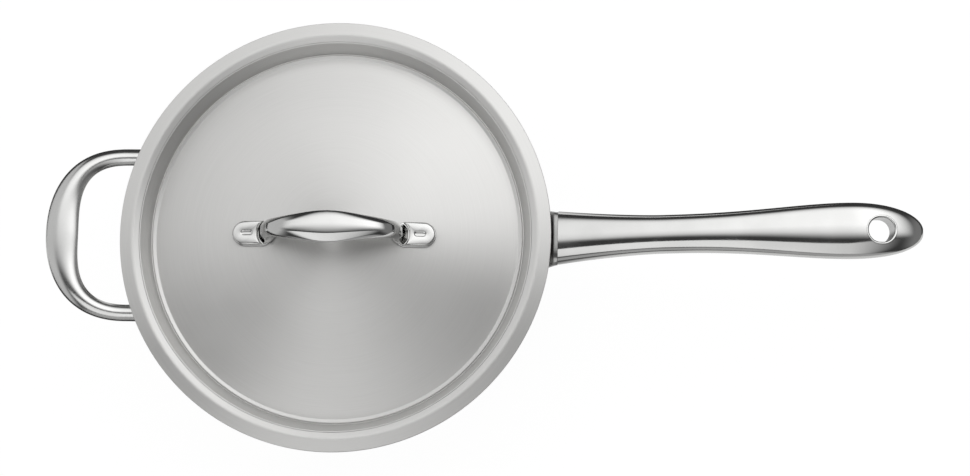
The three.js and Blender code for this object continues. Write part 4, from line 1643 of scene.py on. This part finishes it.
@dataclass
class HelperLoop:
    """The helper loop opposite the long handle, on two welded flanges."""

    vessel: Vessel
    reach: float = 36.3
    arm_spread: float = 48.5
    bend_depth: float = 40.6
    roundness: float = 2.5
    grip_width: float = 20.1
    arm_width: float = 10.3
    swell_power: float = 0.6
    grip_thickness: float = 10.8
    arm_thickness: float = 8.6
    arm_drop: float = 9.6
    grip_lift: float = 6.0
    flange_sheet: float = 1.8
    flange_width: float = 25.0
    flange_height: float = 16.0
    grip_crown: float = 0.38
    arm_crown: float = 0.65
    crown_power: float = 0.8
    around: int = 96
    steps: int = 190
    arm_steps: int = 14
    wall_points: int = 288

    @property
    def facing(self) -> float:
        """How far round the wall each arm stands from the loop's middle, in radians."""
        return math.asin(self.arm_spread / self.vessel.wall_radius)

    def bar(self, forms: Forms, finishes: Finishes) -> None:
        """Sweeps the loop and ends its arms on the flanges.

        Args:
            forms: The Geometry Nodes trees.
            finishes: The materials.
        """
        pan = self.vessel
        bend_x = pan.lip_radius + self.reach - self.bend_depth
        wall_x = pan.wall_radius * math.cos(self.facing) - self.flange_sheet
        arm_z = pan.rim_z - self.arm_drop
        turn = np.pi * np.linspace(1, 0, self.steps + 1)
        power = 2 / self.roundness
        y = signed_power(np.cos(turn), power)
        x = np.abs(np.sin(turn)) ** power
        arch = np.column_stack(
            [-(bend_x + self.bend_depth * x), self.arm_spread * y, arm_z + self.grip_lift * smooth(x)]
        )
        run = np.linspace(0, 1, self.arm_steps)[:-1, None]
        first, last = arch[0], arch[-1]
        near, far = np.array([-wall_x, first[1], arm_z]), np.array([-wall_x, last[1], arm_z])
        points = np.concatenate([near + (first - near) * run, arch, (far + (last - far) * run)[::-1]])
        grip = smooth(1 - np.abs(y)) ** self.swell_power
        grip = np.concatenate([np.zeros(len(run)), grip, np.zeros(len(run))])
        along = np.gradient(points, axis=0)
        along[:, 2] = 0.0
        along /= np.linalg.norm(along, axis=1)[:, None]
        up = repeated((0.0, 0.0, 1.0), len(points))
        sizes = {
            "half_width": lerp(self.arm_width, self.grip_width, grip) / 2,
            "half_height": lerp(self.arm_thickness, self.grip_thickness, grip) / 2,
        }
        sizes["crown"] = lerp(self.arm_crown, self.grip_crown, grip) * sizes["half_width"]
        line = Line(points, sizes, {"across": np.cross(up, along), "up": up})
        # The loop takes the lighter copy of the polished steel, with painted light.
        inputs = {"Around": self.around, "Power": self.crown_power, "Domed": 1.0, "Finish": finishes.loop}
        piece = forms.bar.make("loop_bar", line, inputs)
        clear = pan.wall_radius + self.flange_sheet + 2 * pan.gap
        turn = np.linspace(0, math.tau, self.wall_points, endpoint=False)
        flat = np.column_stack([clear * np.cos(turn), clear * np.sin(turn), np.zeros_like(turn)])
        tool = from_rings("wall_tool", [flat, flat + np.array([0.0, 0.0, 2 * pan.rim_z])], finishes.loop)
        crisp(cut(piece, tool), angle_deg=50.0)
        dress(piece, "pan", "polished_steel", "side_loop")

    def build(self, forms: Forms, finishes: Finishes) -> None:
        """Makes the bar and its flanges.

        Args:
            forms: The Geometry Nodes trees.
            finishes: The materials.
        """
        pan = self.vessel
        self.bar(forms, finishes)
        turn = math.degrees(self.facing)
        top = pan.rim_z - pan.shoulder_radius - 2 * pan.gap
        for side, word in ((1, "back"), (-1, "front")):
            # The flanges take the darker bracket steel, with painted shade under the lip.
            plate = CurvedPlate(
                f"loop_flange_{word}", pan.wall_radius + pan.gap, self.flange_sheet, self.flange_width,
                self.flange_height, top, facing_deg=180 - side * turn,
            ).build(finishes.bracket)
            dress(plate, "pan", "bracket_steel", f"side_flange_{word}")


@dataclass
class PhotoCamera:
    """The camera at the photograph's viewing angle, fitted on the rim, the lid and the grips."""

    focal_px: float = 2449.64
    distance: float = 1486.74
    tilt_to_front: float = 0.15202
    tilt_to_handle: float = 0.07191
    roll: float = 0.01958
    aim: tuple[float, float, float] = (92.35, -1.40, 77.6)
    sensor_mm: float = 36.0
    clip: tuple[float, float] = (0.01, 50.0)

    def build(self) -> None:
        """Makes the camera and sets it as the scene's."""
        data = bpy.data.cameras.new("photo_camera")
        data.sensor_fit = "HORIZONTAL"
        data.sensor_width = self.sensor_mm
        data.lens = self.focal_px * self.sensor_mm / PHOTO_WIDTH_PX
        data.clip_start, data.clip_end = self.clip
        turn = (
            Matrix.Rotation(-self.roll, 3, "Z")
            @ Matrix.Rotation(-self.tilt_to_front, 3, "X")
            @ Matrix.Rotation(-self.tilt_to_handle, 3, "Y")
        )
        camera = linked(bpy.data.objects.new("photo_camera", data))
        place = (Vector(self.aim) + turn.row[2] * self.distance) * MM
        camera.matrix_world = Matrix.Translation(place) @ turn.transposed().to_4x4()
        bpy.context.scene.camera = camera


@dataclass(frozen=True)
class Panel:
    """A soft panel overhead that faces the floor, with sides that fade out, in metres."""

    name: str
    low_x: float
    high_x: float
    low_y: float
    high_y: float
    height: float
    level: float
    slope: float
    fade_west: float
    fade_east: float
    fade_south: float
    fade_north: float
    north_edge: float | None = None
    north_lean: float = 0.0

    def surface(self, graph: Graph, place: Expr) -> Expr:
        """White light that changes along X and fades out towards the sides.

        Args:
            graph: The material's graph.
            place: Object coordinates.

        Returns:
            The shader.
        """
        x, y, _ = place.split()
        side = x.step(self.low_x, self.low_x + self.fade_west)
        side = side * (1 - x.step(self.high_x - self.fade_east, self.high_x))
        along = y.step(self.low_y, self.low_y + self.fade_south)
        edge = self.high_y if self.north_edge is None else self.north_edge
        along = along * (1 - (y - x * self.north_lean).step(edge - self.fade_north, edge))
        light = graph.glow(x * self.slope + self.level)
        return graph.mixed(side * along, graph.node("ShaderNodeBsdfTransparent"), light)

    def build(self) -> None:
        """Makes the panel's mesh and its glow."""
        corners = [
            (self.low_x, self.low_y, self.height),
            (self.low_x, self.high_y, self.height),
            (self.high_x, self.high_y, self.height),
            (self.high_x, self.low_y, self.height),
        ]
        mesh = bpy.data.meshes.new(self.name)
        mesh.from_pydata(corners, [], [(0, 1, 2, 3)])
        mesh.materials.append(painted(self.name, self.surface))
        panel = linked(bpy.data.objects.new(self.name, mesh))
        panel.visible_camera = False
        panel.visible_shadow = False


@dataclass
class Studio:
    """A white floor under two soft panels, with a dark gap between them for the camera."""

    panels: tuple[Panel, ...] = (
        Panel(
            "back_panel", low_x=-1.2, high_x=2.18, low_y=-0.096, high_y=3.06, height=1.25,
            level=1.58, slope=0.48, fade_west=0.55, fade_east=1.76, fade_south=0.382, fade_north=2.09,
        ),
        Panel(
            "front_panel", low_x=-1.13, high_x=1.385, low_y=-1.9, high_y=-0.1, height=1.25,
            level=1.32, slope=0.2, fade_west=0.48, fade_east=1.977, fade_south=0.25, fade_north=0.04,
            north_edge=-0.251, north_lean=0.235,
        ),
    )
    ambient: float = 0.055
    left_glow: float = 0.66
    left_from: tuple[float, float] = (0.518, 0.768)
    left_behind_from: tuple[float, float] = (0.4, 0.6)
    behind_from: tuple[float, float] = (0.0, 0.08)
    front_glow: float = 0.45
    front_from: tuple[float, float] = (0.78, 0.9)
    right_glow: float = 0.2
    right_from: tuple[float, float] = (0.6, 0.9)
    floor_radius: float = 4.0
    floor_points: int = 96
    floor_drop: float = 0.3
    floor_grey: float = 0.9
    floor_share: float = 0.93
    floor_white: float = 1.035
    # Painted light and shade that only reflections see on the floor: dark in front of the pan, bright behind
    # it, dark north of the handle, and a bright strip under the loop with dark on both sides.
    floor_front_shade: float = 0.1
    floor_back: float = 0.95
    pan_fade: tuple[float, float] = (-0.08, 0.08)
    floor_handle: float = 0.9
    handle_fade: tuple[float, float] = (0.02, 0.05)
    handle_from: tuple[float, float] = (0.1, 0.17)
    floor_loop: float = 0.9
    loop_fade: tuple[float, float] = (0.055, 0.085)
    loop_from: tuple[float, float] = (0.125, 0.15)

    @staticmethod
    def rays(graph: Graph) -> tuple[Expr, Expr]:
        """Masks of what the camera sees, straight or through something, and of what metal mirrors.

        Args:
            graph: The graph of a material or the world.

        Returns:
            The two masks.
        """
        path = graph.node("ShaderNodeLightPath")
        seen = path.out("Is Camera Ray").math("MAXIMUM", path.out("Is Transmission Ray"))
        return seen, path.out("Is Glossy Ray")

    def world(self) -> None:
        """A dim room with soft glows to the left, front and right; a camera sees plain white instead."""
        world = bpy.data.worlds.new("studio")
        bpy.context.scene.world = world
        world.use_nodes = True
        graph = Graph(world.node_tree)
        east, north, _ = graph.node("ShaderNodeTexCoord").out("Generated").split()
        west, south = -east, -north
        left_behind = west.step(*self.left_behind_from) * north.step(*self.behind_from)
        left = west.step(*self.left_from).math("MAXIMUM", left_behind) * self.left_glow
        front = south.step(*self.front_from) * self.front_glow
        right = east.step(*self.right_from) * self.right_glow
        glow = left.math("MAXIMUM", front).math("MAXIMUM", right) + self.ambient
        room = graph.node("ShaderNodeBackground", None, {"Color": glow})
        white = graph.node("ShaderNodeBackground", None, {"Color": WHITE})
        seen, _ = self.rays(graph)
        graph.node("ShaderNodeOutputWorld", None, {"Surface": graph.mixed(seen, room, white)})

    def floor_surface(self, graph: Graph, place: Expr) -> Expr:
        """White to the camera with the soft shadow; where metal mirrors it, it glows with painted light and
        shade of its own.

        Args:
            graph: The material's graph.
            place: Object coordinates.

        Returns:
            The shader.
        """
        x, y, _ = place.split()
        # Painted shade in front of the pan, north of the handle and beside the loop, and painted light behind
        # the pan, south of the handle and under the loop; only reflections see it.
        by_pan = y.step(*self.pan_fade) * (self.floor_back - self.floor_front_shade) + self.floor_front_shade
        by_handle = (1 - y.step(*self.handle_fade)) * self.floor_handle
        by_loop = (1 - y.math("ABSOLUTE").step(*self.loop_fade)) * self.floor_loop
        level = by_pan + (by_handle - by_pan) * x.step(*self.handle_from)
        level = level + (by_loop - level) * (-x).step(*self.loop_from)
        grey = (self.floor_grey, self.floor_grey, self.floor_grey, 1.0)
        matte = graph.node("ShaderNodeBsdfDiffuse", None, {"Color": grey})
        seen, mirrored = self.rays(graph)
        lit = graph.mixed(seen * self.floor_share, matte, graph.glow(self.floor_white))
        return graph.mixed(mirrored * self.floor_share, lit, graph.glow(level))

    def floor(self) -> None:
        """A pale round floor just under the pan."""
        turn = np.linspace(0, math.tau, self.floor_points, endpoint=False)
        ring = np.column_stack([np.cos(turn), np.sin(turn), np.zeros_like(turn)]) * self.floor_radius
        ring[:, 2] = -self.floor_drop * MM
        mesh = bpy.data.meshes.new("floor")
        mesh.from_pydata(ring.tolist(), [], [tuple(range(len(ring)))])
        mesh.materials.append(painted("pale_floor", self.floor_surface))
        linked(bpy.data.objects.new("floor", mesh))

    def build(self) -> None:
        """Makes the light and the floor."""
        bpy.context.scene.view_settings.view_transform = "Standard"
        self.world()
        self.floor()
        for panel in self.panels:
            panel.build()


def main() -> None:
    """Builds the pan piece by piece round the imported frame."""
    logging.basicConfig(level=logging.INFO, format="%(name)s %(message)s")
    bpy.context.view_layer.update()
    PhotoCamera().build()
    Studio().build()
    forms, finishes = Forms(), Finishes()
    vessel = Vessel()
    vessel.build(forms, finishes)
    lid = Lid(vessel)
    lid.build(forms, finishes)
    BowGrip(lid).build(forms, finishes)
    handle = LongHandle(vessel)
    handle.build(forms, finishes)
    HandleBracket(vessel, handle).build(forms, finishes)
    HelperLoop(vessel).build(forms, finishes)


if __name__ == "__main__":
    main()
